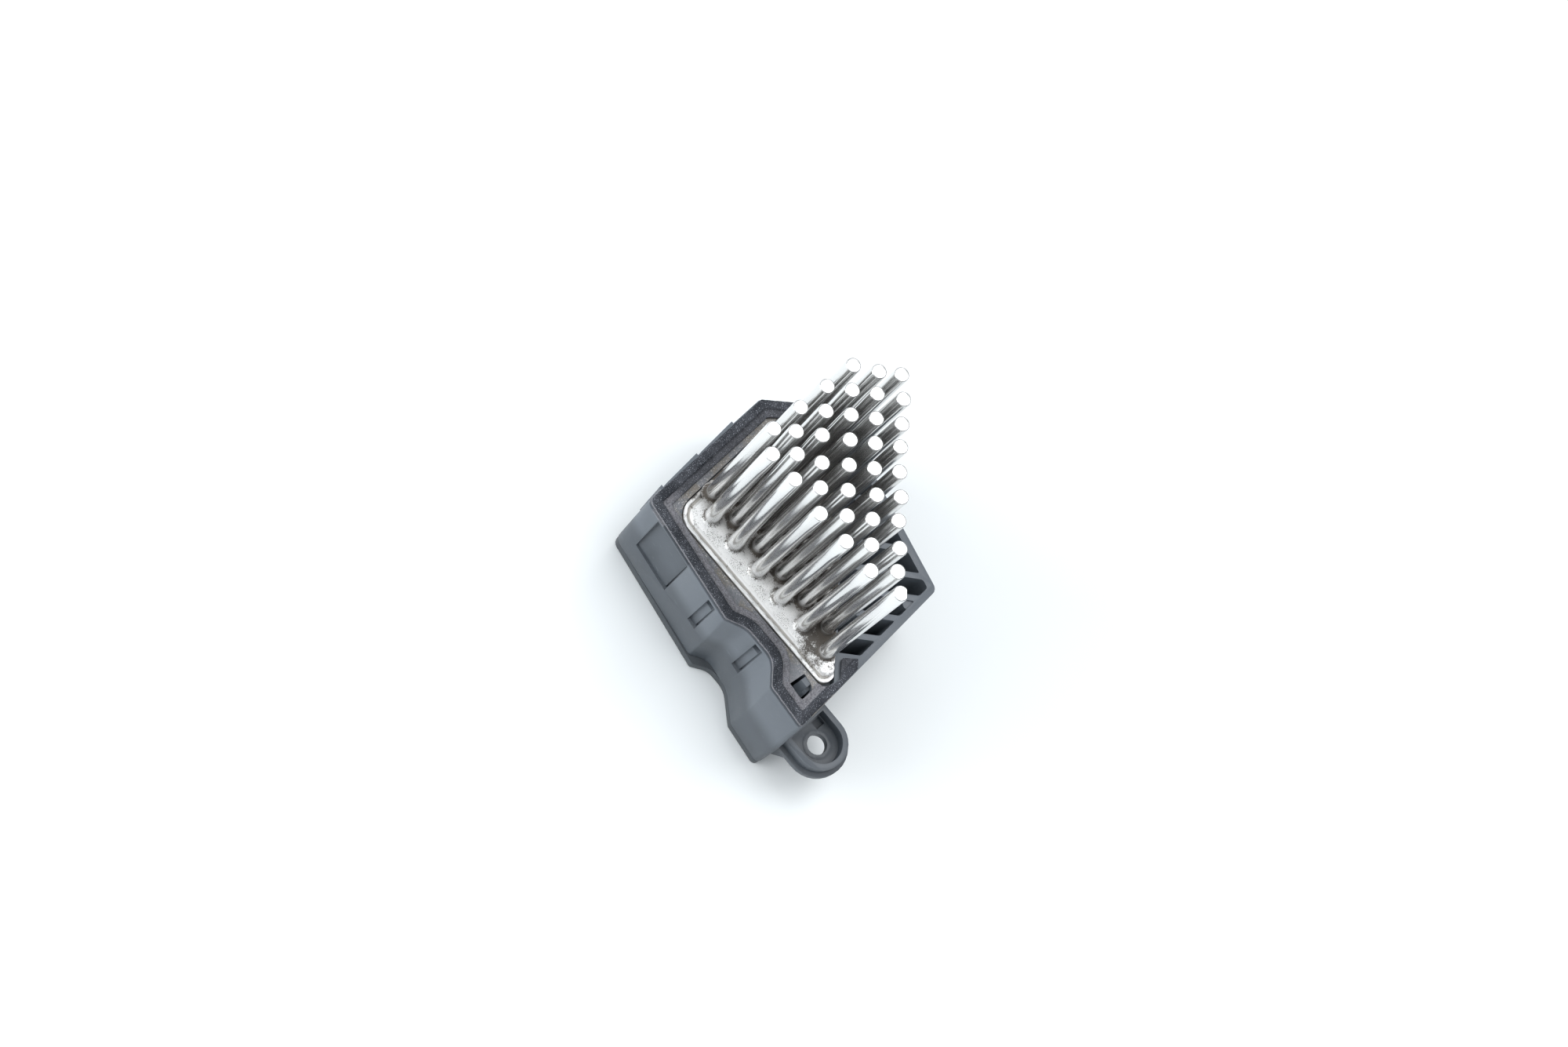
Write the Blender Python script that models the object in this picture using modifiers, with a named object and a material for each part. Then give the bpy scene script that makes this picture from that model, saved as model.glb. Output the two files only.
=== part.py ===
"""Blower motor resistor: a pin-fin heat sink in a moulded housing, with its electronics.

Frame: metres, +Z along the cooling pins. The origin lies on the flat back of the cover, straight
below the corner pin, and +X runs along the row of six pins.
"""

import math

import bmesh
import bpy
from mathutils import Matrix, Vector

MM = 0.001

# Fits
FIT_GAP = 0.3 * MM               # clearance kept between pieces that touch or fit
OVERCUT = 1.0 * MM               # how far a cutter runs past the face that it cuts
FAR = 80.0 * MM                  # half the length of a cutter that runs right across the part
ARC_STEPS = 4                    # pieces in each rounded corner
LEAST_RADIUS = 0.2 * MM          # radius left in a corner that is set in by more than its own

# Pin field: the first and last pin of each row, every second row shifted by half a pitch
PIN_PITCH = 7.8 * MM
ROW_PITCH = 4.0 * MM
PINS_PER_ROW = ((0, 5), (0, 5), (0, 4), (0, 4), (0, 3), (0, 3), (0, 2), (0, 2), (0, 1), (1, 1))
LAST_PIN_X = PINS_PER_ROW[0][1] * PIN_PITCH
LAST_ROW_Y = (len(PINS_PER_ROW) - 1) * ROW_PITCH

# Back cover and housing levels
COVER_THICKNESS = 2.6 * MM
SOCKET_HEIGHT = 11.1 * MM        # resting face to the inner face of a socket's floor
STEP_ABOVE_SOCKET = 2.9 * MM     # from there up to where the upright part of the side wall ends
UPPER_BAND = 13.1 * MM           # part of the side wall that leans in towards the rim
DECK_THICKNESS = 4.3 * MM        # top plate round the heat sink
WALL = 2.2 * MM                  # side wall
RIM_WIDTH = 1.8 * MM             # bare rim beside the open cells

WALL_BASE_Z = COVER_THICKNESS + FIT_GAP
STEP_Z = SOCKET_HEIGHT + STEP_ABOVE_SOCKET
DECK_Z = STEP_Z + UPPER_BAND
DECK_UNDER_Z = DECK_Z - DECK_THICKNESS

# Side outline of the housing at the rim: x, y and corner radius
RIM_CORNERS = (
    (-11.55 * MM, -9.10 * MM, 1.8 * MM),
    (LAST_PIN_X - 19.75 * MM, -13.35 * MM, 1.0 * MM),
    (LAST_PIN_X - 15.00 * MM, -10.85 * MM, 6.0 * MM),
    (LAST_PIN_X - 6.50 * MM, -10.85 * MM, 5.0 * MM),
    (LAST_PIN_X - 2.10 * MM, -15.40 * MM, 1.2 * MM),
    (LAST_PIN_X + 9.05 * MM, -16.25 * MM, 0.8 * MM),
    (LAST_PIN_X + 5.85 * MM, LAST_ROW_Y - 4.40 * MM, 1.8 * MM),
    (-1.35 * MM, LAST_ROW_Y + 6.50 * MM, 1.0 * MM),
    (-13.85 * MM, LAST_ROW_Y - 7.80 * MM, 0.6 * MM),
)
# The same corners where the side wall turns upright
LOWER_CORNERS = (
    (-11.40 * MM, -10.20 * MM, 2.2 * MM),
    (LAST_PIN_X - 19.30 * MM, -14.90 * MM, 1.0 * MM),
    (LAST_PIN_X - 15.40 * MM, -12.30 * MM, 5.0 * MM),
    (LAST_PIN_X - 7.40 * MM, -13.40 * MM, 7.0 * MM),
    (LAST_PIN_X - 1.00 * MM, -18.00 * MM, 1.6 * MM),
    (LAST_PIN_X + 9.80 * MM, -19.40 * MM, 1.4 * MM),
    (LAST_PIN_X + 6.60 * MM, LAST_ROW_Y - 3.70 * MM, 2.2 * MM),
    (-1.50 * MM, LAST_ROW_Y + 7.20 * MM, 1.4 * MM),
    (-13.95 * MM, LAST_ROW_Y - 7.50 * MM, 0.9 * MM),
)
# The cover keeps that outline, with a shallower hand notch
COVER_NOTCH = {
    1: (LAST_PIN_X - 17.00 * MM, -15.80 * MM, 1.0 * MM),
    2: (LAST_PIN_X - 13.40 * MM, -13.00 * MM, 5.0 * MM),
    3: (LAST_PIN_X - 7.80 * MM, -13.10 * MM, 6.0 * MM),
}
COVER_INSET = 0.15 * MM
COVER_SCREWS = (
    (-6.6 * MM, -5.6 * MM),
    (LAST_PIN_X + 5.1 * MM, -14.5 * MM),
    (-8.4 * MM, LAST_ROW_Y - 11.6 * MM),
)
SCREW_RADIUS = 1.25 * MM
SCREW_HEAD_RADIUS = 2.5 * MM
SCREW_HEAD_HEIGHT = 1.1 * MM
SCREW_HEAD_SUNK = 0.1 * MM       # how far the heads stand back from the resting face
COVER_SCREW_LENGTH = 9.0 * MM
BOSS_WALL = 1.5 * MM

# Cooling pins
PIN_HEIGHT = 42.7 * MM
PIN_TIP_RADIUS = 1.68 * MM
PIN_FOOT_RADIUS = 1.75 * MM
PIN_TIP_ROUND = 0.25 * MM
PIN_FILLET = 0.8 * MM
PIN_SIDES = 12
# Pins that were knocked: row and place in the row to the lean of the tip along X and Y
PIN_LEAN = {
    (0, 1): (-0.9 * MM, 0.2 * MM),
    (0, 2): (0.0 * MM, -0.4 * MM),
    (0, 5): (-0.3 * MM, 1.9 * MM),
    (1, 1): (-0.7 * MM, 0.4 * MM),
    (1, 2): (-0.1 * MM, -0.5 * MM),
    (1, 5): (-0.2 * MM, 0.6 * MM),
    (2, 0): (-0.6 * MM, -0.4 * MM),
    (2, 1): (0.0 * MM, -0.5 * MM),
    (2, 4): (0.4 * MM, 0.4 * MM),
    (3, 1): (-0.5 * MM, -0.3 * MM),
    (3, 3): (0.6 * MM, 0.4 * MM),
    (3, 4): (-0.2 * MM, 0.4 * MM),
    (4, 3): (0.3 * MM, 0.4 * MM),
    (7, 2): (0.4 * MM, -0.2 * MM),
    (8, 0): (0.5 * MM, -0.2 * MM),
    (8, 1): (0.5 * MM, 0.0 * MM),
    (9, 1): (0.1 * MM, -0.5 * MM),
}

# Heat sink plate
PLATEAU_RISE = 0.9 * MM          # pin field above the flange
FLANGE_THICKNESS = 2.0 * MM
SINK_THICKNESS = 6.2 * MM        # pin field down to the face that the transistors sit on
RIDGE_WIDTH = 0.9 * MM           # raised edge round the flange
RIDGE_HEIGHT = 0.4 * MM
PLATEAU_MARGIN = 2.0 * MM        # flange edge to pin field
PLATEAU_FILLET = 0.8 * MM
SEAT_WIDTH = 1.6 * MM            # flange edge to the block that passes through the deck
PIN_TO_SLOPE = 2.3 * MM          # last pins to the sloping edge
SINK_CORNERS = (
    (-5.60 * MM, -5.90 * MM, 5.0 * MM),
    (LAST_PIN_X + 5.70 * MM, -5.50 * MM, 2.4 * MM),
    (LAST_PIN_X + 5.35 * MM, -2.20 * MM, 0.0 * MM),
    (5.60 * MM, LAST_ROW_Y + 1.55 * MM, 0.0 * MM),
    (2.07 * MM, LAST_ROW_Y + 2.39 * MM, 0.8 * MM),
    (-8.00 * MM, LAST_ROW_Y - 9.15 * MM, 1.6 * MM),
)
STUB_CENTRE = (LAST_PIN_X + 2.8 * MM, -2.2 * MM)
STUB_RADIUS = 1.75 * MM
STUB_HEIGHT = 1.5 * MM

PLATEAU_Z = DECK_Z + PLATEAU_RISE
FLANGE_Z = DECK_Z
SEAT_Z = FLANGE_Z - FLANGE_THICKNESS - FIT_GAP
SINK_UNDER_Z = PLATEAU_Z - SINK_THICKNESS

# Open cells beyond the sloping edge. Along runs down that edge towards the ear, from the last pin.
SLOPE_ANGLE = math.atan2(PIN_PITCH, 2 * ROW_PITCH)
CELL_DEPTH = 14.0 * MM
CELL_FLOOR = 2.0 * MM
CELL_WALL = 1.2 * MM             # between the cells and the heat sink
CELL_WALL_DROP = 2.3 * MM        # top of that wall below the deck
CELLS_ALONG = (-50.0 * MM, -0.6 * MM)
FIRST_RIB = -5.1 * MM
RIB_PITCH = 5.35 * MM
RIB_THICKNESS = 1.4 * MM
CELL_CORNER = 1.4 * MM
CELL_POST = (LAST_PIN_X + 4.1 * MM, LAST_ROW_Y - 11.8 * MM)
CELL_POST_RADIUS = 1.5 * MM
CELL_POST_DROP = 0.5 * MM

# Foam seal
FOAM_THICKNESS = 1.4 * MM
FOAM_INSET = 0.25 * MM
FOAM_WIDTH = 4.0 * MM
FOAM_LIP_WIDTH = 1.8 * MM        # inner part, pressed flatter in use
FOAM_LIP_DROP = 0.6 * MM
FOAM_END = 5.3 * MM              # past the heat sink's sloping edge
FOAM_CUT = (-46.0 * MM, 0.4 * MM)   # stretch along that edge where the rim is bare
FOAM_FROM_SLOPE = 0.8 * MM
FOAM_TO_SINK = 0.5 * MM          # where the strip is trimmed along the heat sink

# Hollows in the long side: from x, to x at the rim, bottom level, depth at the top, at the bottom
LIP_HEIGHT = 0.7 * MM
SIDE_HOLLOWS = {
    "long_hollow": (-6.6 * MM, 5.3 * MM, 11.0 * MM, 1.1 * MM, 0.6 * MM),
    "first_channel": (LAST_PIN_X - 25.4 * MM, LAST_PIN_X - 22.7 * MM, 13.6 * MM, 1.0 * MM, 0.8 * MM),
    "second_channel": (LAST_PIN_X - 11.4 * MM, LAST_PIN_X - 8.8 * MM, 13.6 * MM, 1.0 * MM, 0.8 * MM),
}
CHANNEL_HOLE_HEIGHT = 3.2 * MM
CHANNEL_HOLE_DEPTH = 2.0 * MM
HOLLOW_SLIT = 0.4 * MM           # narrow slit at the right end of each hollow
HOLLOW_SLIT_DEPTH = 1.3 * MM
HOLLOW_STEP = 0.1 * MM           # step between a hollow and what is cut deeper in it

# Wedge pads on the short side wall: from y, to y
SIDE_PADS = ((-8.0 * MM, -3.7 * MM), (-2.5 * MM, 7.8 * MM), (9.0 * MM, 19.6 * MM))
PAD_HEIGHT = 8.2 * MM
PAD_DROP = 0.2 * MM
PAD_THICK_END = 0.6 * MM
PAD_THIN_END = 0.15 * MM

# Well with its post at the corner by the ear
WELL_CORNERS = (
    (LAST_PIN_X - 0.10 * MM, -12.40 * MM, 1.0 * MM),
    (LAST_PIN_X + 5.00 * MM, -12.80 * MM, 1.8 * MM),
    (LAST_PIN_X + 4.70 * MM, -7.40 * MM, 2.2 * MM),
    (LAST_PIN_X + 0.55 * MM, -6.75 * MM, 0.3 * MM),
)
WELL_DEPTH = 9.0 * MM
WELL_WALL = 1.1 * MM
TONGUE_GAP = 0.8 * MM            # between the well's wall and the tongue that stands in it
TONGUE_DROP = 0.3 * MM           # top of the tongue below the deck
TONGUE_LAND = 1.5 * MM           # flat top at the tongue's root
TONGUE_FALL = 5.4 * MM           # height lost down its slope
TONGUE_STEP = (2.2 * MM, 1.3 * MM)   # width of the higher part of the land, and its height

# Fixing ear: a plate with an upstanding rim
EAR_CENTRE = (LAST_PIN_X + 14.8 * MM, -9.3 * MM)
EAR_HOLE_RADIUS = 2.4 * MM
EAR_PLATE_RADIUS = 7.5 * MM
EAR_RIM_RADIUS = 6.4 * MM
EAR_RIM_WIDTH = 1.3 * MM
EAR_TOP_DROP = 11.1 * MM         # deck to the top of the rim
EAR_RIM_HEIGHT = 3.2 * MM
EAR_PLATE_THICKNESS = 1.7 * MM
EAR_COLLAR_RADIUS = 3.4 * MM
EAR_COLLAR_HEIGHT = 0.2 * MM
EAR_POCKET = (2.0 * MM, 2.4 * MM)   # blind pocket in the plate beside the wall, along X and Y
EAR_POCKET_FLOOR = 0.5 * MM
EAR_POCKET_FROM_WALL = 0.5 * MM
EAR_RIB_THICKNESS = 1.5 * MM
EAR_RIB_RUN = 3.4 * MM
EAR_RIB_INSET = 1.6 * MM
EAR_ARC_STEPS = 16

# Circuit board and the sockets in the cover
BOARD_THICKNESS = 1.6 * MM
BOARD_MARGIN = 0.8 * MM
SOCKET_FLOOR = 1.5 * MM
SOCKET_WALL = 1.4 * MM
SUPPLY_SOCKET = (16.0 * MM, 3.0 * MM, 26.0 * MM, 10.0 * MM)
MOTOR_SOCKET = (6.0 * MM, 17.0 * MM, 14.0 * MM, 9.0 * MM)
BLADE_THICKNESS = 0.8 * MM
BLADE_SHORT_OF_MOUTH = 3.0 * MM
BLADE_TAIL_WIDTH = 1.8 * MM
BLADE_ABOVE_BOARD = 0.7 * MM
BLADE_TIP = 1.2 * MM
POWER_BLADE_WIDTH = 6.3 * MM
SIGNAL_BLADE_WIDTH = 2.8 * MM
BLADES = {
    "supply_blade": (6.0 * MM, 3.0 * MM, POWER_BLADE_WIDTH),
    "ground_blade": (12.0 * MM, 3.0 * MM, POWER_BLADE_WIDTH),
    "signal_blade_1": (18.0 * MM, 3.0 * MM, SIGNAL_BLADE_WIDTH),
    "signal_blade_2": (21.5 * MM, 3.0 * MM, SIGNAL_BLADE_WIDTH),
    "signal_blade_3": (25.0 * MM, 3.0 * MM, SIGNAL_BLADE_WIDTH),
    "motor_plus_blade": (2.5 * MM, 17.0 * MM, POWER_BLADE_WIDTH),
    "motor_minus_blade": (9.5 * MM, 17.0 * MM, POWER_BLADE_WIDTH),
}
BOARD_UNDER_Z = SOCKET_HEIGHT + FIT_GAP
BOARD_TOP_Z = BOARD_UNDER_Z + BOARD_THICKNESS

# Electronics
TRANSISTORS = {"power_transistor_1": (4.5 * MM, 3.5 * MM), "power_transistor_2": (21.5 * MM, 3.5 * MM)}
TRANSISTOR_BODY = (10.0 * MM, 9.0 * MM, 4.4 * MM)
TAB_LENGTH = 6.4 * MM
TAB_THICKNESS = 1.3 * MM
TAB_HOLE_RADIUS = 1.8 * MM
LEAD_PITCH = 2.54 * MM
LEAD_WIDTH = 0.8 * MM
LEAD_THICKNESS = 0.5 * MM
LEAD_REACH = 3.0 * MM
PAD_OVERHANG = 0.6 * MM
PAD_THICKNESS = 0.4 * MM
CLIP_THICKNESS = 0.6 * MM
CLIP_SIZE = (22.0 * MM, 6.0 * MM)
CLIP_CORNER = 1.5 * MM
CLIP_CENTRE = (13.0 * MM, 3.5 * MM)
CLIP_BOSS_RADIUS = 2.5 * MM
CLIP_SCREW_LENGTH = 4.6 * MM
CAPACITORS = {"capacitor_1": (35.2 * MM, 0.0 * MM), "capacitor_2": (20.0 * MM, 13.8 * MM)}
CAN_RADIUS = 3.9 * MM
CAN_TO_COVER = 0.3 * MM
CAN_EDGE = 0.5 * MM
CAN_WAIST = 0.3 * MM
CAN_BASE_HEIGHT = 1.0 * MM
CAN_SIDES = 20
CHIP_CENTRE = (2.0 * MM, 24.5 * MM)
CHIP_SIZE = (10.0 * MM, 6.0 * MM, 1.8 * MM)
DIODE_CENTRE = (31.0 * MM, 4.6 * MM)
DIODE_SIZE = (6.0 * MM, 4.0 * MM, 2.3 * MM)
SHUNT_CENTRE = (34.0 * MM, -3.0 * MM)
SHUNT_SIZE = (9.0 * MM, 2.0 * MM)
SHUNT_RISE = 1.6 * MM
SHUNT_THICKNESS = 0.8 * MM

TRANSISTOR_TOP_Z = SINK_UNDER_Z - FIT_GAP - PAD_THICKNESS - FIT_GAP
TRANSISTOR_UNDER_Z = TRANSISTOR_TOP_Z - TRANSISTOR_BODY[2]
CLIP_TOP_Z = TRANSISTOR_UNDER_Z - FIT_GAP

COLOURS = {
    "housing_plastic": ((0.105, 0.120, 0.135), 0.45, 0.0),
    "cover_plastic": ((0.060, 0.066, 0.070), 0.50, 0.0),
    "foam": ((0.040, 0.044, 0.050), 0.95, 0.0),
    "cast_aluminium": ((0.80, 0.80, 0.78), 0.35, 1.0),
    "steel": ((0.55, 0.55, 0.55), 0.35, 1.0),
    "board": ((0.02, 0.16, 0.06), 0.50, 0.0),
    "epoxy": ((0.02, 0.02, 0.022), 0.55, 0.0),
    "tinned_copper": ((0.75, 0.70, 0.62), 0.30, 1.0),
    "capacitor_sleeve": ((0.55, 0.56, 0.58), 0.35, 0.8),
    "silicone": ((0.45, 0.47, 0.50), 0.80, 0.0),
}


# Scene helpers


def clear_scene():
    """Remove every object, so that a second run starts clean."""
    for obj in list(bpy.data.objects):
        bpy.data.objects.remove(obj, do_unlink=True)


def new_collection(name):
    """Make a collection under the scene."""
    collection = bpy.data.collections.new(name)
    bpy.context.scene.collection.children.link(collection)
    return collection


def make_material(name):
    """Make the Principled material of one finish."""
    colour, roughness, metallic = COLOURS[name]
    material = bpy.data.materials.new(name)
    material.use_nodes = True
    shader = material.node_tree.nodes["Principled BSDF"]
    shader.inputs["Base Color"].default_value = (*colour, 1.0)
    shader.inputs["Roughness"].default_value = roughness
    shader.inputs["Metallic"].default_value = metallic
    material.diffuse_color = (*colour, 1.0)
    return material


class Workshop:
    """Links finished parts and cutters, each to its own collection."""

    def __init__(self):
        self.parts = new_collection("blower_motor_resistor")
        self.cutters = new_collection("cutters")
        self.materials = {name: make_material(name) for name in COLOURS}

    def part(self, obj, finish):
        """Keep an object as a part with its finish."""
        self.parts.objects.link(obj)
        obj.data.materials.clear()
        obj.data.materials.append(self.materials[finish])
        return obj

    def tool(self, obj):
        """Keep an object as a cutter, or as a body that is joined to a part."""
        self.cutters.objects.link(obj)
        obj.hide_render = True
        obj.display_type = "WIRE"
        return obj

    def apply_to(self, target, tool, operation="DIFFERENCE"):
        """Cut a tool from the target, or join it on."""
        if tool.name not in self.cutters.objects:
            self.tool(tool)
        modifier = target.modifiers.new(tool.name, "BOOLEAN")
        modifier.operation = operation
        modifier.solver = "EXACT"
        modifier.object = tool
        return target


# Shape helpers


def object_from(name, bm):
    """Close a bmesh into an object with its faces pointing out."""
    bmesh.ops.recalc_face_normals(bm, faces=bm.faces)
    mesh = bpy.data.meshes.new(name)
    bm.to_mesh(mesh)
    bm.free()
    return bpy.data.objects.new(name, mesh)


def loft(name, rings):
    """Skin a stack of rings that have the same number of points, and cap both ends."""
    bm = bmesh.new()
    layers = [[bm.verts.new(point) for point in ring] for ring in rings]
    count = len(layers[0])
    for lower, upper in zip(layers, layers[1:]):
        for i in range(count):
            j = (i + 1) % count
            bm.faces.new((lower[i], lower[j], upper[j], upper[i]))
    bm.faces.new(layers[0])
    bm.faces.new(layers[-1])
    return object_from(name, bm)


def join(name, objects):
    """Put several closed shapes in one mesh."""
    bm = bmesh.new()
    for obj in objects:
        bm.from_mesh(obj.data)
        bpy.data.objects.remove(obj, do_unlink=True)
    return object_from(name, bm)


def box(name, low, high):
    """Make a box from its two opposite corners."""
    bm = bmesh.new()
    bmesh.ops.create_cube(bm, size=1.0)
    middle = (Vector(low) + Vector(high)) / 2
    size = Vector(high) - Vector(low)
    bmesh.ops.transform(bm, matrix=Matrix.Translation(middle) @ Matrix.Diagonal((*size, 1.0)), verts=bm.verts)
    return object_from(name, bm)


def cylinder(name, centre, radius, z_low, z_high, sides=20):
    """Make an upright cylinder."""
    bm = bmesh.new()
    place = Matrix.Translation((centre[0], centre[1], (z_low + z_high) / 2))
    bmesh.ops.create_cone(
        bm, cap_ends=True, segments=sides, radius1=radius, radius2=radius, depth=z_high - z_low, matrix=place
    )
    return object_from(name, bm)


def prism(name, outline, z_low, z_high):
    """Extrude a flat outline, as a filled 2D curve made into a mesh."""
    curve = bpy.data.curves.new(name, "CURVE")
    curve.dimensions = "2D"
    curve.fill_mode = "BOTH"
    curve.extrude = (z_high - z_low) / 2
    spline = curve.splines.new("POLY")
    spline.points.add(len(outline) - 1)
    for point, (x, y) in zip(spline.points, outline):
        point.co = (x, y, 0.0, 1.0)
    spline.use_cyclic_u = True
    source = bpy.data.objects.new(name + "_curve", curve)
    bpy.context.scene.collection.objects.link(source)
    evaluated = source.evaluated_get(bpy.context.evaluated_depsgraph_get())
    mesh = bpy.data.meshes.new_from_object(evaluated)
    bpy.data.objects.remove(source, do_unlink=True)
    bm = bmesh.new()
    bm.from_mesh(mesh)
    bmesh.ops.remove_doubles(bm, verts=bm.verts, dist=0.001 * MM)
    bmesh.ops.translate(bm, verts=bm.verts, vec=(0.0, 0.0, (z_low + z_high) / 2))
    return object_from(name, bm)


def turned(name, profile, centre, sides):
    """Turn a profile, given from top to bottom at +X, about an upright axis."""
    mesh = bpy.data.meshes.new(name)
    points = [(r, 0.0, z) for r, z in profile]
    mesh.from_pydata(points, [(i, i + 1) for i in range(len(points) - 1)], [])
    obj = bpy.data.objects.new(name, mesh)
    obj.location = (centre[0], centre[1], 0.0)
    screw = obj.modifiers.new("turn", "SCREW")
    screw.steps = sides
    screw.render_steps = sides
    screw.use_merge_vertices = True
    screw.merge_threshold = 0.00001
    return obj


# Outline helpers


def offset_corners(corners, distance):
    """Move every side of a corner outline inwards (outwards if negative), with its radii to suit."""
    result = []
    count = len(corners)
    for i, (x, y, radius) in enumerate(corners):
        here = Vector((x, y))
        back = (here - Vector(corners[i - 1][:2])).normalized()
        ahead = (Vector(corners[(i + 1) % count][:2]) - here).normalized()
        normal_back = Vector((-back.y, back.x))
        normal_ahead = Vector((-ahead.y, ahead.x))
        bisector = normal_back + normal_ahead
        moved = here + bisector * (distance * 2 / bisector.length_squared)
        convex = back.x * ahead.y - back.y * ahead.x > 0
        new_radius = radius - distance if convex else radius + distance
        result.append((moved.x, moved.y, max(new_radius, LEAST_RADIUS) if radius > 0 else 0.0))
    return tuple(result)


def rounded(corners):
    """Turn a corner outline into points, with an arc at each corner that has a radius."""
    points = []
    count = len(corners)
    for i, (x, y, radius) in enumerate(corners):
        here = Vector((x, y))
        to_back = Vector(corners[i - 1][:2]) - here
        to_next = Vector(corners[(i + 1) % count][:2]) - here
        half = to_back.angle(to_next) / 2
        if radius == 0:
            points.append((here.x, here.y))
            continue
        room = 0.45 * min(to_back.length, to_next.length) * math.tan(half)
        r = min(radius, room)
        start = to_back.normalized() * (r / math.tan(half))
        end = to_next.normalized() * (r / math.tan(half))
        centre = (to_back.normalized() + to_next.normalized()).normalized() * (r / math.sin(half))
        first = math.atan2(*(start - centre).yx)
        sweep = math.atan2(*(end - centre).yx) - first
        sweep = (sweep + math.pi) % (2 * math.pi) - math.pi
        for k in range(ARC_STEPS + 1):
            angle = first + sweep * k / ARC_STEPS
            spot = here + centre + Vector((math.cos(angle), math.sin(angle))) * r
            points.append((spot.x, spot.y))
    return points


def at_height(outline, z):
    """Lift flat points to a level."""
    return [(x, y, z) for x, y in outline]


def front_y(outline, x):
    """Find the outline's lowest y at a given x."""
    best = None
    for (x0, y0), (x1, y1) in zip(outline, outline[1:] + outline[:1]):
        if min(x0, x1) <= x <= max(x0, x1) and x0 != x1:
            y = y0 + (y1 - y0) * (x - x0) / (x1 - x0)
            best = y if best is None else min(best, y)
    return best


def wall_y(x, z):
    """Find the long side's outer face at x and z."""
    lean = min(max((z - STEP_Z) / (DECK_Z - STEP_Z), 0.0), 1.0)
    low = front_y(rounded(LOWER_CORNERS), x)
    high = front_y(rounded(RIM_CORNERS), x)
    return low + (high - low) * lean


def slope_frame(along, across):
    """Place a point by its run along the sloping edge's direction and its distance out from the pins."""
    tangent = Vector((math.sin(SLOPE_ANGLE), -math.cos(SLOPE_ANGLE)))
    outward = Vector((math.cos(SLOPE_ANGLE), math.sin(SLOPE_ANGLE)))
    last_pin = Vector(pin_place(0, PINS_PER_ROW[0][1]))
    base = outward * last_pin.dot(outward)
    spot = base + tangent * along + outward * across
    return spot.x, spot.y


def slope_block(name, along, across, z_low, z_high):
    """Make a block that lies square to the sloping edge."""
    corners = [slope_frame(along[i], across[j]) for i, j in ((0, 0), (1, 0), (1, 1), (0, 1))]
    return prism(name, corners, z_low, z_high)


# Heat sink


def pin_place(row, place):
    """Give the foot of one pin: every second row is shifted by half a pitch."""
    shift = PIN_PITCH / 2 if row % 2 else 0.0
    return place * PIN_PITCH - shift, row * ROW_PITCH


def cooling_pin(row, place):
    """Make one cast pin: a flared foot, a drafted shaft and a rounded tip."""
    x, y = pin_place(row, place)
    lean_x, lean_y = PIN_LEAN.get((row, place), (0.0, 0.0))
    sections = (
        (PIN_FOOT_RADIUS + PIN_FILLET, -0.3 * MM),
        (PIN_FOOT_RADIUS + 0.30 * PIN_FILLET, 0.30 * PIN_FILLET),
        (PIN_FOOT_RADIUS, PIN_FILLET),
        (PIN_TIP_RADIUS, PIN_HEIGHT - PIN_TIP_ROUND),
        (PIN_TIP_RADIUS - 0.3 * PIN_TIP_ROUND, PIN_HEIGHT - 0.3 * PIN_TIP_ROUND),
        (PIN_TIP_RADIUS - PIN_TIP_ROUND, PIN_HEIGHT),
    )
    rings = []
    for radius, height in sections:
        share = max(height, 0.0) / PIN_HEIGHT
        rings.append([
            (
                x + lean_x * share + radius * math.cos(2 * math.pi * k / PIN_SIDES),
                y + lean_y * share + radius * math.sin(2 * math.pi * k / PIN_SIDES),
                PLATEAU_Z + height,
            )
            for k in range(PIN_SIDES)
        ])
    return loft("pin", rings)


def sink_corners(spare=0.0):
    """Give the flange outline, with its sloping side set by the last pins, and spare to be trimmed off there."""
    top_x, top_y = slope_frame(0.0, PIN_TO_SLOPE + spare)
    outward = Vector((math.cos(SLOPE_ANGLE), math.sin(SLOPE_ANGLE)))
    corners = []
    for i, (x, y, radius) in enumerate(SINK_CORNERS):
        if i in (2, 3):
            move = (Vector((top_x, top_y)) - Vector((x, y))).dot(outward)
            x += outward.x * move
            y += outward.y * move
        corners.append((x, y, radius))
    return tuple(corners)


def inner_sink_corners(margin, spare=OVERCUT):
    """Set every side of the flange outline in, except the sloping side."""
    moved = list(offset_corners(sink_corners(), margin))
    outward = Vector((math.cos(SLOPE_ANGLE), math.sin(SLOPE_ANGLE)))
    reach = Vector(slope_frame(0.0, PIN_TO_SLOPE + spare)).dot(outward)
    for i, neighbour in ((2, 1), (3, 4)):
        here = Vector(moved[i][:2])
        along = (here - Vector(moved[neighbour][:2])).normalized()
        here += along * ((reach - here.dot(outward)) / along.dot(outward))
        moved[i] = (here.x, here.y, moved[i][2])
    return tuple(moved)


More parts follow.
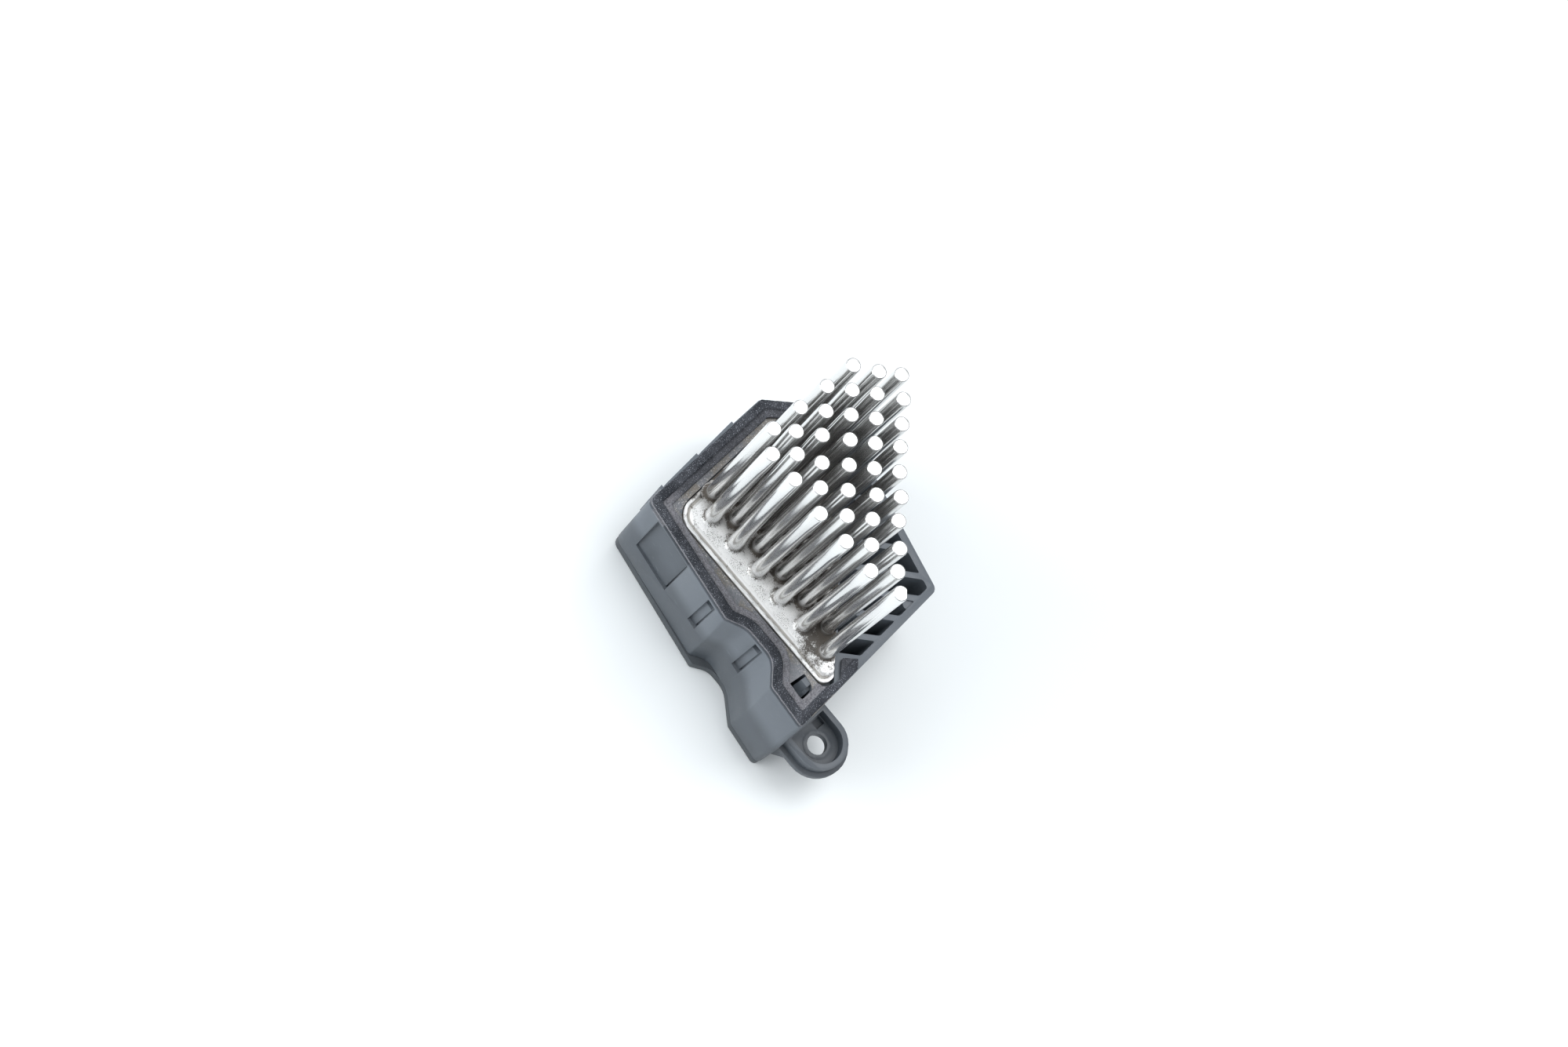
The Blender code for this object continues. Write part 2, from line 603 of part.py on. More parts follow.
def build_heat_sink(shop):
    """Cast heat sink: flange with its raised edge, pin field, pins, stub and the clip's boss."""
    flange = rounded(sink_corners(OVERCUT))
    ridge_inner = rounded(inner_sink_corners(RIDGE_WIDTH))
    field_foot = rounded(inner_sink_corners(PLATEAU_MARGIN - PLATEAU_FILLET))
    field = rounded(inner_sink_corners(PLATEAU_MARGIN))
    block = rounded(inner_sink_corners(SEAT_WIDTH))
    sink = prism("heat_sink", flange, FLANGE_Z - FLANGE_THICKNESS, FLANGE_Z + RIDGE_HEIGHT)
    shop.part(sink, "cast_aluminium")
    shop.apply_to(sink, prism("flange_face", ridge_inner, FLANGE_Z, FLANGE_Z + PLATEAU_RISE))
    shop.apply_to(sink, prism("sink_block", block, SINK_UNDER_Z, FLANGE_Z - FLANGE_THICKNESS / 2), "UNION")
    raised = loft("pin_field", (
        at_height(field_foot, FLANGE_Z - FLANGE_THICKNESS / 2),
        at_height(field_foot, FLANGE_Z),
        at_height(field, PLATEAU_Z),
    ))
    shop.apply_to(sink, raised, "UNION")
    pins = [cooling_pin(row, k) for row, (low, high) in enumerate(PINS_PER_ROW) for k in range(low, high + 1)]
    shop.apply_to(sink, join("pins", pins), "UNION")
    trim = slope_block("slope", (-FAR, FAR), (PIN_TO_SLOPE, FAR), SINK_UNDER_Z - OVERCUT, PLATEAU_Z + PIN_FILLET + OVERCUT)
    shop.apply_to(sink, trim)
    stub = cylinder("stub", STUB_CENTRE, STUB_RADIUS, FLANGE_Z - FLANGE_THICKNESS / 2, FLANGE_Z + STUB_HEIGHT)
    shop.apply_to(sink, stub, "UNION")
    boss = cylinder("clip_boss", CLIP_CENTRE, CLIP_BOSS_RADIUS, CLIP_TOP_Z + FIT_GAP, SINK_UNDER_Z + OVERCUT)
    shop.apply_to(sink, boss, "UNION")
    hole_top = CLIP_TOP_Z + CLIP_SCREW_LENGTH
    shop.apply_to(
        sink, cylinder("clip_hole", CLIP_CENTRE, SCREW_RADIUS + FIT_GAP, CLIP_TOP_Z - OVERCUT, hole_top, 12)
    )
    return sink


# Housing


def cut_cavity(shop, housing):
    """Hollow the housing from below and open its deck for the heat sink, up to the block of open cells."""
    lower = rounded(offset_corners(LOWER_CORNERS, WALL))
    upper = rounded(offset_corners(RIM_CORNERS, WALL))
    cavity = loft("cavity", (
        at_height(lower, WALL_BASE_Z - OVERCUT),
        at_height(lower, STEP_Z),
        at_height(upper, DECK_UNDER_Z),
    ))
    shop.tool(cavity)
    for name, centre in boss_places():
        boss = cylinder("keep_" + name, centre, SCREW_RADIUS + BOSS_WALL, WALL_BASE_Z - 2 * OVERCUT, DECK_Z, 16)
        shop.apply_to(cavity, boss)
    window = rounded(offset_corners(inner_sink_corners(SEAT_WIDTH), -FIT_GAP))
    shop.apply_to(cavity, prism("window", window, DECK_UNDER_Z - OVERCUT, SEAT_Z + OVERCUT), "UNION")
    seat = rounded(offset_corners(sink_corners(OVERCUT), -FIT_GAP))
    shop.apply_to(cavity, prism("seat", seat, SEAT_Z, DECK_Z + OVERCUT), "UNION")
    cell_bottom = DECK_Z - CELL_DEPTH - CELL_FLOOR
    block = slope_block("cell_block", (-FAR, FAR), (PIN_TO_SLOPE + FIT_GAP, FAR), cell_bottom, DECK_Z + 2 * OVERCUT)
    shop.apply_to(cavity, block)
    shop.apply_to(housing, cavity)


def boss_places():
    """Name each cover screw with its place."""
    return [("cover_screw_%d" % (i + 1), spot) for i, spot in enumerate(COVER_SCREWS)]


def cut_cells(shop, housing):
    """Cut the open cells between the ribs beyond the heat sink's sloping edge."""
    corners = tuple((x, y, max(r, CELL_CORNER)) for x, y, r in offset_corners(RIM_CORNERS, RIM_WIDTH))
    floor_z = DECK_Z - CELL_DEPTH
    cells = shop.tool(prism("cells", rounded(corners), floor_z, DECK_Z + OVERCUT))
    wall_out = PIN_TO_SLOPE + FIT_GAP + CELL_WALL
    start, end = CELLS_ALONG
    low, high = floor_z - OVERCUT, DECK_Z + 2 * OVERCUT
    shop.apply_to(cells, slope_block("sink_side", (-FAR, FAR), (-FAR, wall_out), low, high))
    shop.apply_to(cells, slope_block("ear_end", (end, FAR), (-FAR, FAR), low, high))
    shop.apply_to(cells, slope_block("top_end", (-FAR, start), (-FAR, FAR), low, high))
    count = int((FIRST_RIB - start) / RIB_PITCH)
    ribs = [
        slope_block("rib", (along - RIB_THICKNESS / 2, along + RIB_THICKNESS / 2), (-FAR, FAR), low, high)
        for along in (FIRST_RIB - i * RIB_PITCH for i in range(count))
    ]
    shop.apply_to(cells, join("ribs", ribs))
    post = cylinder("cell_post", CELL_POST, CELL_POST_RADIUS, low, DECK_Z - CELL_POST_DROP, 16)
    shop.apply_to(cells, post)
    shop.apply_to(housing, cells)
    across = (PIN_TO_SLOPE, wall_out + FIT_GAP)
    shop.apply_to(housing, slope_block("cell_wall_top", CELLS_ALONG, across, DECK_Z - CELL_WALL_DROP, high))


def side_hollow(name, x_low, x_high, z_low, z_high, depth_low, depth_high):
    """Make the cutter of one hollow in the long side, which follows the wall's lean."""
    rings = []
    for x in (x_low, x_high):
        outside = min(wall_y(x, z_low), wall_y(x, z_high)) - 2 * OVERCUT
        rings.append([
            (x, outside, z_low),
            (x, wall_y(x, z_low) + depth_low, z_low),
            (x, wall_y(x, z_high) + depth_high, z_high),
            (x, outside, z_high),
        ])
    return loft(name, rings)


def cut_side_hollows(shop, housing):
    """Cut the long hollow and the two channels under the rim's lip."""
    top = DECK_Z - LIP_HEIGHT
    for name, (x_low, x_high, bottom, depth_top, depth_bottom) in SIDE_HOLLOWS.items():
        shop.apply_to(housing, side_hollow(name, x_low, x_high, bottom, top, depth_bottom, depth_top))
        x_slit = x_high - HOLLOW_STEP - HOLLOW_SLIT
        depths = (HOLLOW_SLIT_DEPTH, HOLLOW_SLIT_DEPTH)
        slit_ends = (x_slit, x_high - HOLLOW_STEP, bottom + HOLLOW_STEP, top - HOLLOW_STEP)
        shop.apply_to(housing, side_hollow(name + "_slit", *slit_ends, *depths))
        if name.endswith("channel"):
            hole_ends = (x_low + HOLLOW_STEP, x_slit - HOLLOW_STEP, top - CHANNEL_HOLE_HEIGHT, top - HOLLOW_STEP)
            depths = (CHANNEL_HOLE_DEPTH, CHANNEL_HOLE_DEPTH)
            shop.apply_to(housing, side_hollow(name + "_hole", *hole_ends, *depths))


def add_side_pads(shop, housing):
    """Add the wedge pads that centre the housing by its short side wall."""
    x0, y0 = RIM_CORNERS[8][:2]
    x1, y1 = RIM_CORNERS[0][:2]
    for i, (y_low, y_high) in enumerate(SIDE_PADS):
        rings = []
        for y, thickness in ((y_low, PAD_THIN_END), (y_high, PAD_THICK_END)):
            face = x0 + (x1 - x0) * (y - y0) / (y1 - y0)
            z_high = DECK_Z - PAD_DROP
            z_low = z_high - PAD_HEIGHT
            rings.append([
                (face - thickness, y, z_low),
                (face + WALL / 2, y, z_low),
                (face + WALL / 2, y, z_high),
                (face - thickness, y, z_high),
            ])
        shop.apply_to(housing, loft("side_pad_%d" % (i + 1), rings), "UNION")


def add_well(shop, housing):
    """Add the blind well in the deck corner and the sloping tongue that stands in it."""
    floor_z = DECK_Z - WELL_DEPTH
    jacket = rounded(offset_corners(WELL_CORNERS, -WELL_WALL))
    shop.apply_to(housing, prism("well_jacket", jacket, floor_z - WELL_WALL, DECK_UNDER_Z + OVERCUT), "UNION")
    shop.apply_to(housing, prism("well", rounded(WELL_CORNERS), floor_z, DECK_Z + OVERCUT))
    root_y = max(WELL_CORNERS[2][1], WELL_CORNERS[3][1])
    front_y_low = min(WELL_CORNERS[0][1], WELL_CORNERS[1][1])
    foot = list(offset_corners(WELL_CORNERS, TONGUE_GAP))
    for i in (2, 3):
        foot[i] = (foot[i][0], root_y + WELL_WALL / 2, LEAST_RADIUS)
    top_z = DECK_Z - TONGUE_DROP
    tongue = shop.tool(prism("well_tongue", rounded(foot), floor_z - WELL_WALL / 2, top_z))
    land_y = root_y - TONGUE_LAND
    left = WELL_CORNERS[0][0] - OVERCUT
    right = WELL_CORNERS[1][0] + OVERCUT
    rings = [
        [
            (x, land_y, top_z + OVERCUT),
            (x, land_y, top_z),
            (x, front_y_low, top_z - TONGUE_FALL),
            (x, front_y_low - OVERCUT, top_z - TONGUE_FALL),
            (x, front_y_low - OVERCUT, top_z + OVERCUT),
        ]
        for x in (left, right)
    ]
    shop.apply_to(tongue, loft("tongue_slope", rings))
    step_x = WELL_CORNERS[3][0] + TONGUE_GAP / 2 + TONGUE_STEP[0]
    step = box(
        "tongue_step",
        (step_x, land_y - TONGUE_STEP[1], top_z - TONGUE_STEP[1]),
        (right, root_y + OVERCUT, top_z + 2 * OVERCUT),
    )
    shop.apply_to(tongue, step)
    shop.apply_to(housing, tongue, "UNION")


def u_outline(radius, x_start):
    """Give the outline of an ear: two straight legs and a half round about the hole."""
    cx, cy = EAR_CENTRE
    arc = [
        (cx + radius * math.cos(a), cy + radius * math.sin(a))
        for a in (math.pi * (k / EAR_ARC_STEPS - 0.5) for k in range(EAR_ARC_STEPS + 1))
    ]
    return [(x_start, cy - radius), *arc, (x_start, cy + radius)]


def add_ear(shop, housing):
    """Add the fixing ear: plate, upstanding rim, screw hole with its collar, pocket, and the ribs below."""
    root_x = RIM_CORNERS[5][0] - WALL / 2
    wall_x = LOWER_CORNERS[5][0]
    cy = EAR_CENTRE[1]
    rim_z = DECK_Z - EAR_TOP_DROP
    plate_z = rim_z - EAR_RIM_HEIGHT
    under_z = plate_z - EAR_PLATE_THICKNESS
    inner = EAR_RIM_RADIUS - EAR_RIM_WIDTH
    shop.apply_to(housing, prism("ear_plate", u_outline(EAR_PLATE_RADIUS, root_x), under_z, plate_z), "UNION")
    rim = u_outline(EAR_RIM_RADIUS, root_x)
    shop.apply_to(housing, prism("ear_rim", rim, plate_z - EAR_PLATE_THICKNESS / 2, rim_z), "UNION")
    shop.apply_to(housing, prism("ear_dish", u_outline(inner, wall_x), plate_z + FIT_GAP / 3, rim_z + OVERCUT))
    collar = cylinder("ear_collar", EAR_CENTRE, EAR_COLLAR_RADIUS, under_z + FIT_GAP, plate_z + EAR_COLLAR_HEIGHT, 24)
    shop.apply_to(housing, collar, "UNION")
    shop.apply_to(housing, cylinder("ear_hole", EAR_CENTRE, EAR_HOLE_RADIUS, under_z - OVERCUT, rim_z, 24))
    pocket_x, pocket_y = wall_x + EAR_POCKET_FROM_WALL, cy + inner - FIT_GAP
    pocket = box(
        "ear_pocket",
        (pocket_x, pocket_y - EAR_POCKET[1], under_z + EAR_POCKET_FLOOR),
        (pocket_x + EAR_POCKET[0], pocket_y, rim_z - FIT_GAP),
    )
    shop.apply_to(housing, pocket)
    for i, side in enumerate((-1, 1)):
        y = cy + side * (EAR_PLATE_RADIUS - EAR_RIB_INSET)
        rings = [
            [
                (root_x, edge, under_z + EAR_PLATE_THICKNESS / 2),
                (wall_x + EAR_RIB_RUN, edge, under_z + EAR_PLATE_THICKNESS / 2),
                (wall_x + EAR_RIB_RUN, edge, under_z - FIT_GAP),
                (wall_x, edge, WALL_BASE_Z + EAR_RIB_INSET),
                (root_x, edge, WALL_BASE_Z + EAR_RIB_INSET),
            ]
            for edge in (y - EAR_RIB_THICKNESS / 2, y + EAR_RIB_THICKNESS / 2)
        ]
        shop.apply_to(housing, loft("ear_rib_%d" % (i + 1), rings), "UNION")


def build_housing(shop):
    """Moulded housing: leaning side wall, deck with the sink's seat, open cells, well and ear."""
    lower = rounded(LOWER_CORNERS)
    rim = rounded(RIM_CORNERS)
    housing = loft("housing", (
        at_height(lower, WALL_BASE_Z),
        at_height(lower, STEP_Z),
        at_height(rim, DECK_Z),
    ))
    shop.part(housing, "housing_plastic")
    cut_cavity(shop, housing)
    cut_cells(shop, housing)
    cut_side_hollows(shop, housing)
    add_side_pads(shop, housing)
    add_well(shop, housing)
    add_ear(shop, housing)
    for name, centre in boss_places():
        top = SCREW_HEAD_SUNK + SCREW_HEAD_HEIGHT + COVER_SCREW_LENGTH + FIT_GAP
        hole = cylinder("hole_" + name, centre, SCREW_RADIUS + FIT_GAP, WALL_BASE_Z - OVERCUT, top, 12)
        shop.apply_to(housing, hole)
    return housing


def build_foam_seal(shop):
    """Foam strip on the rim, with its inner edge pressed flatter, open at the cells."""
    low = DECK_Z + FIT_GAP
    high = low + FOAM_THICKNESS
    outer = rounded(offset_corners(RIM_CORNERS, FOAM_INSET))
    inner = rounded(offset_corners(RIM_CORNERS, FOAM_INSET + FOAM_WIDTH))
    lip = rounded(offset_corners(RIM_CORNERS, FOAM_INSET + FOAM_WIDTH - FOAM_LIP_WIDTH))
    foam = shop.part(prism("foam_seal", outer, low, high), "foam")
    shop.apply_to(foam, prism("foam_inside", inner, low - OVERCUT, high + OVERCUT))
    shop.apply_to(foam, prism("foam_lip", lip, high - FOAM_LIP_DROP, high + 2 * OVERCUT))
    sink = rounded(offset_corners(sink_corners(OVERCUT), -FOAM_TO_SINK))
    shop.apply_to(foam, prism("foam_sink_side", sink, low - OVERCUT, high + 3 * OVERCUT))
    end = slope_block("foam_end", (-FAR, FAR), (PIN_TO_SLOPE + FOAM_END, FAR), low - 2 * OVERCUT, high + 4 * OVERCUT)
    shop.apply_to(foam, end)
    across = (PIN_TO_SLOPE + FOAM_FROM_SLOPE, FAR)
    shop.apply_to(foam, slope_block("foam_gap", FOAM_CUT, across, low - OVERCUT, high + 2 * OVERCUT))
    return foam


# Cover, screws and terminals


def socket_box(name, socket, grow, z_low, z_high):
    """Make a block over a socket, grown on its four sides."""
    x, y, length, width = socket
    return box(
        name,
        (x - length / 2 - grow, y - width / 2 - grow, z_low),
        (x + length / 2 + grow, y + width / 2 + grow, z_high),
    )


def build_back_cover(shop):
    """Moulded back cover with the two sockets that open on the resting face."""
    corners = list(LOWER_CORNERS)
    for i, corner in COVER_NOTCH.items():
        corners[i] = corner
    outline = rounded(offset_corners(corners, COVER_INSET))
    cover = shop.part(prism("back_cover", outline, 0.0, COVER_THICKNESS), "cover_plastic")
    for name, socket in (("supply_socket", SUPPLY_SOCKET), ("motor_socket", MOTOR_SOCKET)):
        shop.apply_to(cover, socket_box(name + "_shell", socket, SOCKET_WALL, COVER_THICKNESS / 2, SOCKET_HEIGHT), "UNION")
        shop.apply_to(cover, socket_box(name, socket, 0.0, -OVERCUT, SOCKET_HEIGHT - SOCKET_FLOOR))
    slots = [
        box(
            "slot",
            (x - BLADE_THICKNESS / 2 - FIT_GAP, y - width / 2 - FIT_GAP, SOCKET_HEIGHT - SOCKET_FLOOR - OVERCUT),
            (x + BLADE_THICKNESS / 2 + FIT_GAP, y + width / 2 + FIT_GAP, SOCKET_HEIGHT + OVERCUT),
        )
        for x, y, width in BLADES.values()
    ]
    shop.apply_to(cover, join("blade_slots", slots))
    for name, centre in boss_places():
        sink_z = SCREW_HEAD_SUNK + SCREW_HEAD_HEIGHT + FIT_GAP
        radius = SCREW_HEAD_RADIUS + FIT_GAP
        shop.apply_to(cover, cylinder("recess_" + name, centre, radius, -OVERCUT, sink_z, 16))
        through = cylinder("through_" + name, centre, SCREW_RADIUS + FIT_GAP, -OVERCUT, 2 * COVER_THICKNESS, 12)
        shop.apply_to(cover, through)
    return cover


def build_screw(shop, name, centre, head_low_z, length):
    """Self-tapping screw that points up: a pan head with a straight slot, a shank and a point."""
    head_top = head_low_z + SCREW_HEAD_HEIGHT
    profile = (
        (0.0, head_top + length),
        (0.5 * SCREW_RADIUS, head_top + length - SCREW_RADIUS / 2),
        (SCREW_RADIUS, head_top + length - 1.5 * SCREW_RADIUS),
        (SCREW_RADIUS, head_top),
        (SCREW_HEAD_RADIUS, head_top),
        (SCREW_HEAD_RADIUS, head_low_z + 0.35 * SCREW_HEAD_HEIGHT),
        (0.8 * SCREW_HEAD_RADIUS, head_low_z),
        (0.0, head_low_z),
    )
    screw = shop.part(turned(name, profile, centre, 12), "steel")
    half = 0.4 * MM
    slot = box(
        name + "_slot",
        (centre[0] - 2 * SCREW_HEAD_RADIUS, centre[1] - half, head_low_z - OVERCUT),
        (centre[0] + 2 * SCREW_HEAD_RADIUS, centre[1] + half, head_low_z + SCREW_HEAD_HEIGHT / 2),
    )
    return shop.apply_to(screw, slot)


def build_blade(shop, name, x, y, width):
    """Flat terminal: chamfered tip in the socket, and a narrow tail through the board."""
    half = BLADE_THICKNESS / 2
    shoulder = SOCKET_HEIGHT + FIT_GAP / 3
    rings = []
    for w, t, z in (
        (width - BLADE_TIP, half / 2, BLADE_SHORT_OF_MOUTH),
        (width, half, BLADE_SHORT_OF_MOUTH + BLADE_TIP),
        (width, half, shoulder),
        (BLADE_TAIL_WIDTH, half, shoulder),
        (BLADE_TAIL_WIDTH, half, BOARD_TOP_Z + BLADE_ABOVE_BOARD),
    ):
        rings.append([(x - t, y - w / 2, z), (x + t, y - w / 2, z), (x + t, y + w / 2, z), (x - t, y + w / 2, z)])
    return shop.part(loft(name, rings), "tinned_copper")


# Electronics


def build_board(shop):
    """Circuit board on the sockets: the cavity's outline, cut back along the open cells."""
    outline = rounded(offset_corners(LOWER_CORNERS, WALL + BOARD_MARGIN))
    board = shop.part(prism("circuit_board", outline, BOARD_UNDER_Z, BOARD_TOP_Z), "board")
    low, high = BOARD_UNDER_Z - OVERCUT, BOARD_TOP_Z + OVERCUT
    across = (PIN_TO_SLOPE + FIT_GAP - BOARD_MARGIN, FAR)
    shop.apply_to(board, slope_block("board_slope", (-FAR, FAR), across, low, high))
    for name, centre in boss_places():
        radius = SCREW_RADIUS + BOSS_WALL + BOARD_MARGIN / 2
        shop.apply_to(board, cylinder("board_" + name, centre, radius, low, high, 16))
    slots = [
        box(
            "tail",
            (x - BLADE_THICKNESS / 2 - FIT_GAP, y - BLADE_TAIL_WIDTH / 2 - FIT_GAP, low),
            (x + BLADE_THICKNESS / 2 + FIT_GAP, y + BLADE_TAIL_WIDTH / 2 + FIT_GAP, high),
        )
        for x, y, _ in BLADES.values()
    ]
    shop.apply_to(board, join("tail_slots", slots))
    return board


def build_transistor(shop, name, centre):
    """Power transistor, tab up against its pad, with three bent leads down to the board."""
    x, y = centre
    length, width, height = TRANSISTOR_BODY
    low = TRANSISTOR_UNDER_Z
    body = box(name, (x - length / 2, y - width / 2, low), (x + length / 2, y + width / 2, TRANSISTOR_TOP_Z))
    shop.part(body, "epoxy")
    tab = box(
        name + "_tab",
        (x - length / 2 + 0.1 * MM, y, TRANSISTOR_TOP_Z - TAB_THICKNESS),
        (x + length / 2 - 0.1 * MM, y + width / 2 + TAB_LENGTH, TRANSISTOR_TOP_Z - 0.02 * MM),
    )
    shop.apply_to(body, tab, "UNION")
    hole_centre = (x, y + width / 2 + TAB_LENGTH / 2)
    hole = cylinder(name + "_tab_hole", hole_centre, TAB_HOLE_RADIUS, low, TRANSISTOR_TOP_Z + OVERCUT, 16)
    shop.apply_to(body, hole)
    root = y - width / 2
    out_z = low + height / 2
    leads = []
    for i in (-1, 0, 1):
        side = x + i * LEAD_PITCH
        outline = (
            (root + 0.5 * MM, out_z),
            (root - LEAD_REACH, out_z),
            (root - LEAD_REACH, BOARD_TOP_Z + FIT_GAP),
            (root - LEAD_REACH + LEAD_THICKNESS, BOARD_TOP_Z + FIT_GAP),
            (root - LEAD_REACH + LEAD_THICKNESS, out_z - LEAD_THICKNESS),
            (root + 0.5 * MM, out_z - LEAD_THICKNESS),
        )
        rings = [[(side + s * LEAD_WIDTH / 2, a, b) for a, b in outline] for s in (-1, 1)]
        leads.append(loft("lead", rings))
    return shop.apply_to(body, join(name + "_leads", leads), "UNION")


def build_insulator(shop, name, centre):
    """Silicone pad between a transistor and the heat sink."""
    x, y = centre
    length, width, _ = TRANSISTOR_BODY
    high = SINK_UNDER_Z - FIT_GAP
    pad = box(
        name,
        (x - length / 2 - PAD_OVERHANG, y - width / 2 - PAD_OVERHANG, high - PAD_THICKNESS),
        (x + length / 2 + PAD_OVERHANG, y + width / 2 + TAB_LENGTH + PAD_OVERHANG, high),
    )
    return shop.part(pad, "silicone")


def build_clip(shop):
    """Sprung steel bridge that presses both transistors up, with its screw hole."""
    x, y = CLIP_CENTRE
    half_x, half_y = CLIP_SIZE[0] / 2, CLIP_SIZE[1] / 2
    corners = tuple(
        (x + sx * half_x, y + sy * half_y, CLIP_CORNER) for sx, sy in ((-1, -1), (1, -1), (1, 1), (-1, 1))
    )
    low = CLIP_TOP_Z - CLIP_THICKNESS
    clip = shop.part(prism("transistor_clip", rounded(corners), low, CLIP_TOP_Z), "steel")
    hole = cylinder("clip_screw_hole", CLIP_CENTRE, SCREW_RADIUS + FIT_GAP, low - OVERCUT, CLIP_TOP_Z + OVERCUT, 16)
    return shop.apply_to(clip, hole)


def build_capacitor(shop, name, centre):
    """Upright capacitor under the board: square base, waisted can and rounded crown."""
    high = BOARD_UNDER_Z - FIT_GAP
    can_top = high - CAN_BASE_HEIGHT
    low = COVER_THICKNESS + CAN_TO_COVER
    profile = (
        (0.0, can_top + CAN_BASE_HEIGHT / 2),
        (CAN_RADIUS, can_top + CAN_BASE_HEIGHT / 2),
        (CAN_RADIUS, can_top - 1.0 * MM),
        (CAN_RADIUS - CAN_WAIST, can_top - 1.4 * MM),
        (CAN_RADIUS, can_top - 1.8 * MM),
        (CAN_RADIUS, low + CAN_EDGE),
        (CAN_RADIUS - CAN_EDGE, low),
        (0.0, low),
    )
    can = shop.part(turned(name, profile, centre, CAN_SIDES), "capacitor_sleeve")
    x, y = centre
    half = CAN_RADIUS + 0.15 * MM
    base = box(name + "_base", (x - half, y - half, can_top), (x + half, y + half, high))
    return shop.apply_to(can, base, "UNION")


def build_chip(shop, name, centre, size, finish):
    """Moulded component on top of the board, with chamfered upper edges."""
    x, y = centre
    length, width, height = size
    low = BOARD_TOP_Z + FIT_GAP
    chip = box(name, (x - length / 2, y - width / 2, low), (x + length / 2, y + width / 2, low + height))
    bevel = chip.modifiers.new("edges", "BEVEL")
    bevel.width = 0.25 * MM
    bevel.segments = 1
    return shop.part(chip, finish)


def build_shunt(shop):
    """Shunt: a flat metal bridge that stands on two feet on the board."""
    x, y = SHUNT_CENTRE
    length, width = SHUNT_SIZE
    low = BOARD_TOP_Z + FIT_GAP
    high = low + SHUNT_RISE
    t = SHUNT_THICKNESS
    outline = (
        (x - length / 2, low), (x - length / 2 + 2 * t, low), (x - length / 2 + 2 * t, high - t),
        (x + length / 2 - 2 * t, high - t), (x + length / 2 - 2 * t, low), (x + length / 2, low),
        (x + length / 2, high), (x - length / 2, high),
    )
    rings = [[(a, y + s * width / 2, b) for a, b in outline] for s in (-1, 1)]
    return shop.part(loft("shunt_resistor", rings), "tinned_copper")


def build_electronics(shop):
    """Board, power stage, capacitors and the small components."""
    build_board(shop)
    for i, (name, centre) in enumerate(TRANSISTORS.items()):
        build_transistor(shop, name, centre)
        build_insulator(shop, "insulator_pad_%d" % (i + 1), centre)
    build_clip(shop)
    head_low = CLIP_TOP_Z - CLIP_THICKNESS - FIT_GAP - SCREW_HEAD_HEIGHT
    build_screw(shop, "clip_screw", CLIP_CENTRE, head_low, CLIP_SCREW_LENGTH)
    for name, centre in CAPACITORS.items():
        build_capacitor(shop, name, centre)
    build_chip(shop, "control_chip", CHIP_CENTRE, CHIP_SIZE, "epoxy")
    build_chip(shop, "surge_diode", DIODE_CENTRE, DIODE_SIZE, "epoxy")
    build_shunt(shop)


def shade_round_pieces(shop):
    """Shade smooth across shallow edges and keep the real ones sharp."""
    for obj in shop.parts.objects:
        obj.data.shade_smooth()
        obj.data.set_sharp_from_angle(angle=math.radians(35))


def main():
    clear_scene()
    shop = Workshop()
    build_heat_sink(shop)
    build_housing(shop)
    build_foam_seal(shop)
    build_back_cover(shop)
    for name, centre in boss_places():
        build_screw(shop, name, centre, SCREW_HEAD_SUNK, COVER_SCREW_LENGTH)
    for name, (x, y, width) in BLADES.items():
        build_blade(shop, name, x, y, width)
    build_electronics(shop)
    shade_round_pieces(shop)


main()
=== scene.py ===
"""Blower motor resistor: smooth casting, foam strip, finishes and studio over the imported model."""

import logging
import math
from dataclasses import dataclass, field, replace
from enum import Enum
from typing import Callable

import bmesh
import bpy
from mathutils import Matrix, Vector


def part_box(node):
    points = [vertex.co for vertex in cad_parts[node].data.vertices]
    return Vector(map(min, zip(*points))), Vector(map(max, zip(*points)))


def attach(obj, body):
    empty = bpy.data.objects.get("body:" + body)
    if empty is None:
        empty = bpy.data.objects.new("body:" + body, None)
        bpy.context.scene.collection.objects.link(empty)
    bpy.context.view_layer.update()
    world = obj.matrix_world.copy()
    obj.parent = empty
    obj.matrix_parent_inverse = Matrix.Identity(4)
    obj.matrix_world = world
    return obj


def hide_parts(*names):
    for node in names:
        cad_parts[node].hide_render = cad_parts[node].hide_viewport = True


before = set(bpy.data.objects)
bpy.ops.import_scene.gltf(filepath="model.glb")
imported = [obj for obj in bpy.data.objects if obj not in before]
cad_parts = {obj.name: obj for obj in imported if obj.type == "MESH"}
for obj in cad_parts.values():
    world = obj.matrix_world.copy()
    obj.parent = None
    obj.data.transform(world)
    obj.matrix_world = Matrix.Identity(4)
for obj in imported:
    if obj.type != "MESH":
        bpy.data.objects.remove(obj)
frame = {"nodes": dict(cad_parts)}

MM = 0.001
BODY = "root"
LOG = logging.getLogger("blower_motor_resistor")

FIT_GAP = 0.3 * MM
TINY = 1e-6
CUT_TOLERANCE = 1e-7

Colour = tuple[float, float, float]
Spot = tuple[float, float, float]
Corner = tuple[float, float, float]
Planes = list[tuple[Vector, Vector]]
Piece = bpy.types.Object
Socket = bpy.types.NodeSocket
Material = bpy.types.Material


def mm(*values: float) -> tuple[float, ...]:
    """Turn millimetres into metres."""
    return tuple(value * MM for value in values)


class Slot(Enum):
    """Material slots of the record."""

    ALUMINIUM = "cast_aluminium"
    HOUSING = "housing_plastic"
    COVER = "cover_plastic"
    FOAM = "foam"
    BOARD = "board"
    EPOXY = "epoxy"
    TERMINAL = "terminal"
    STEEL = "steel"
    CAN = "capacitor_can"
    SILICONE = "silicone"


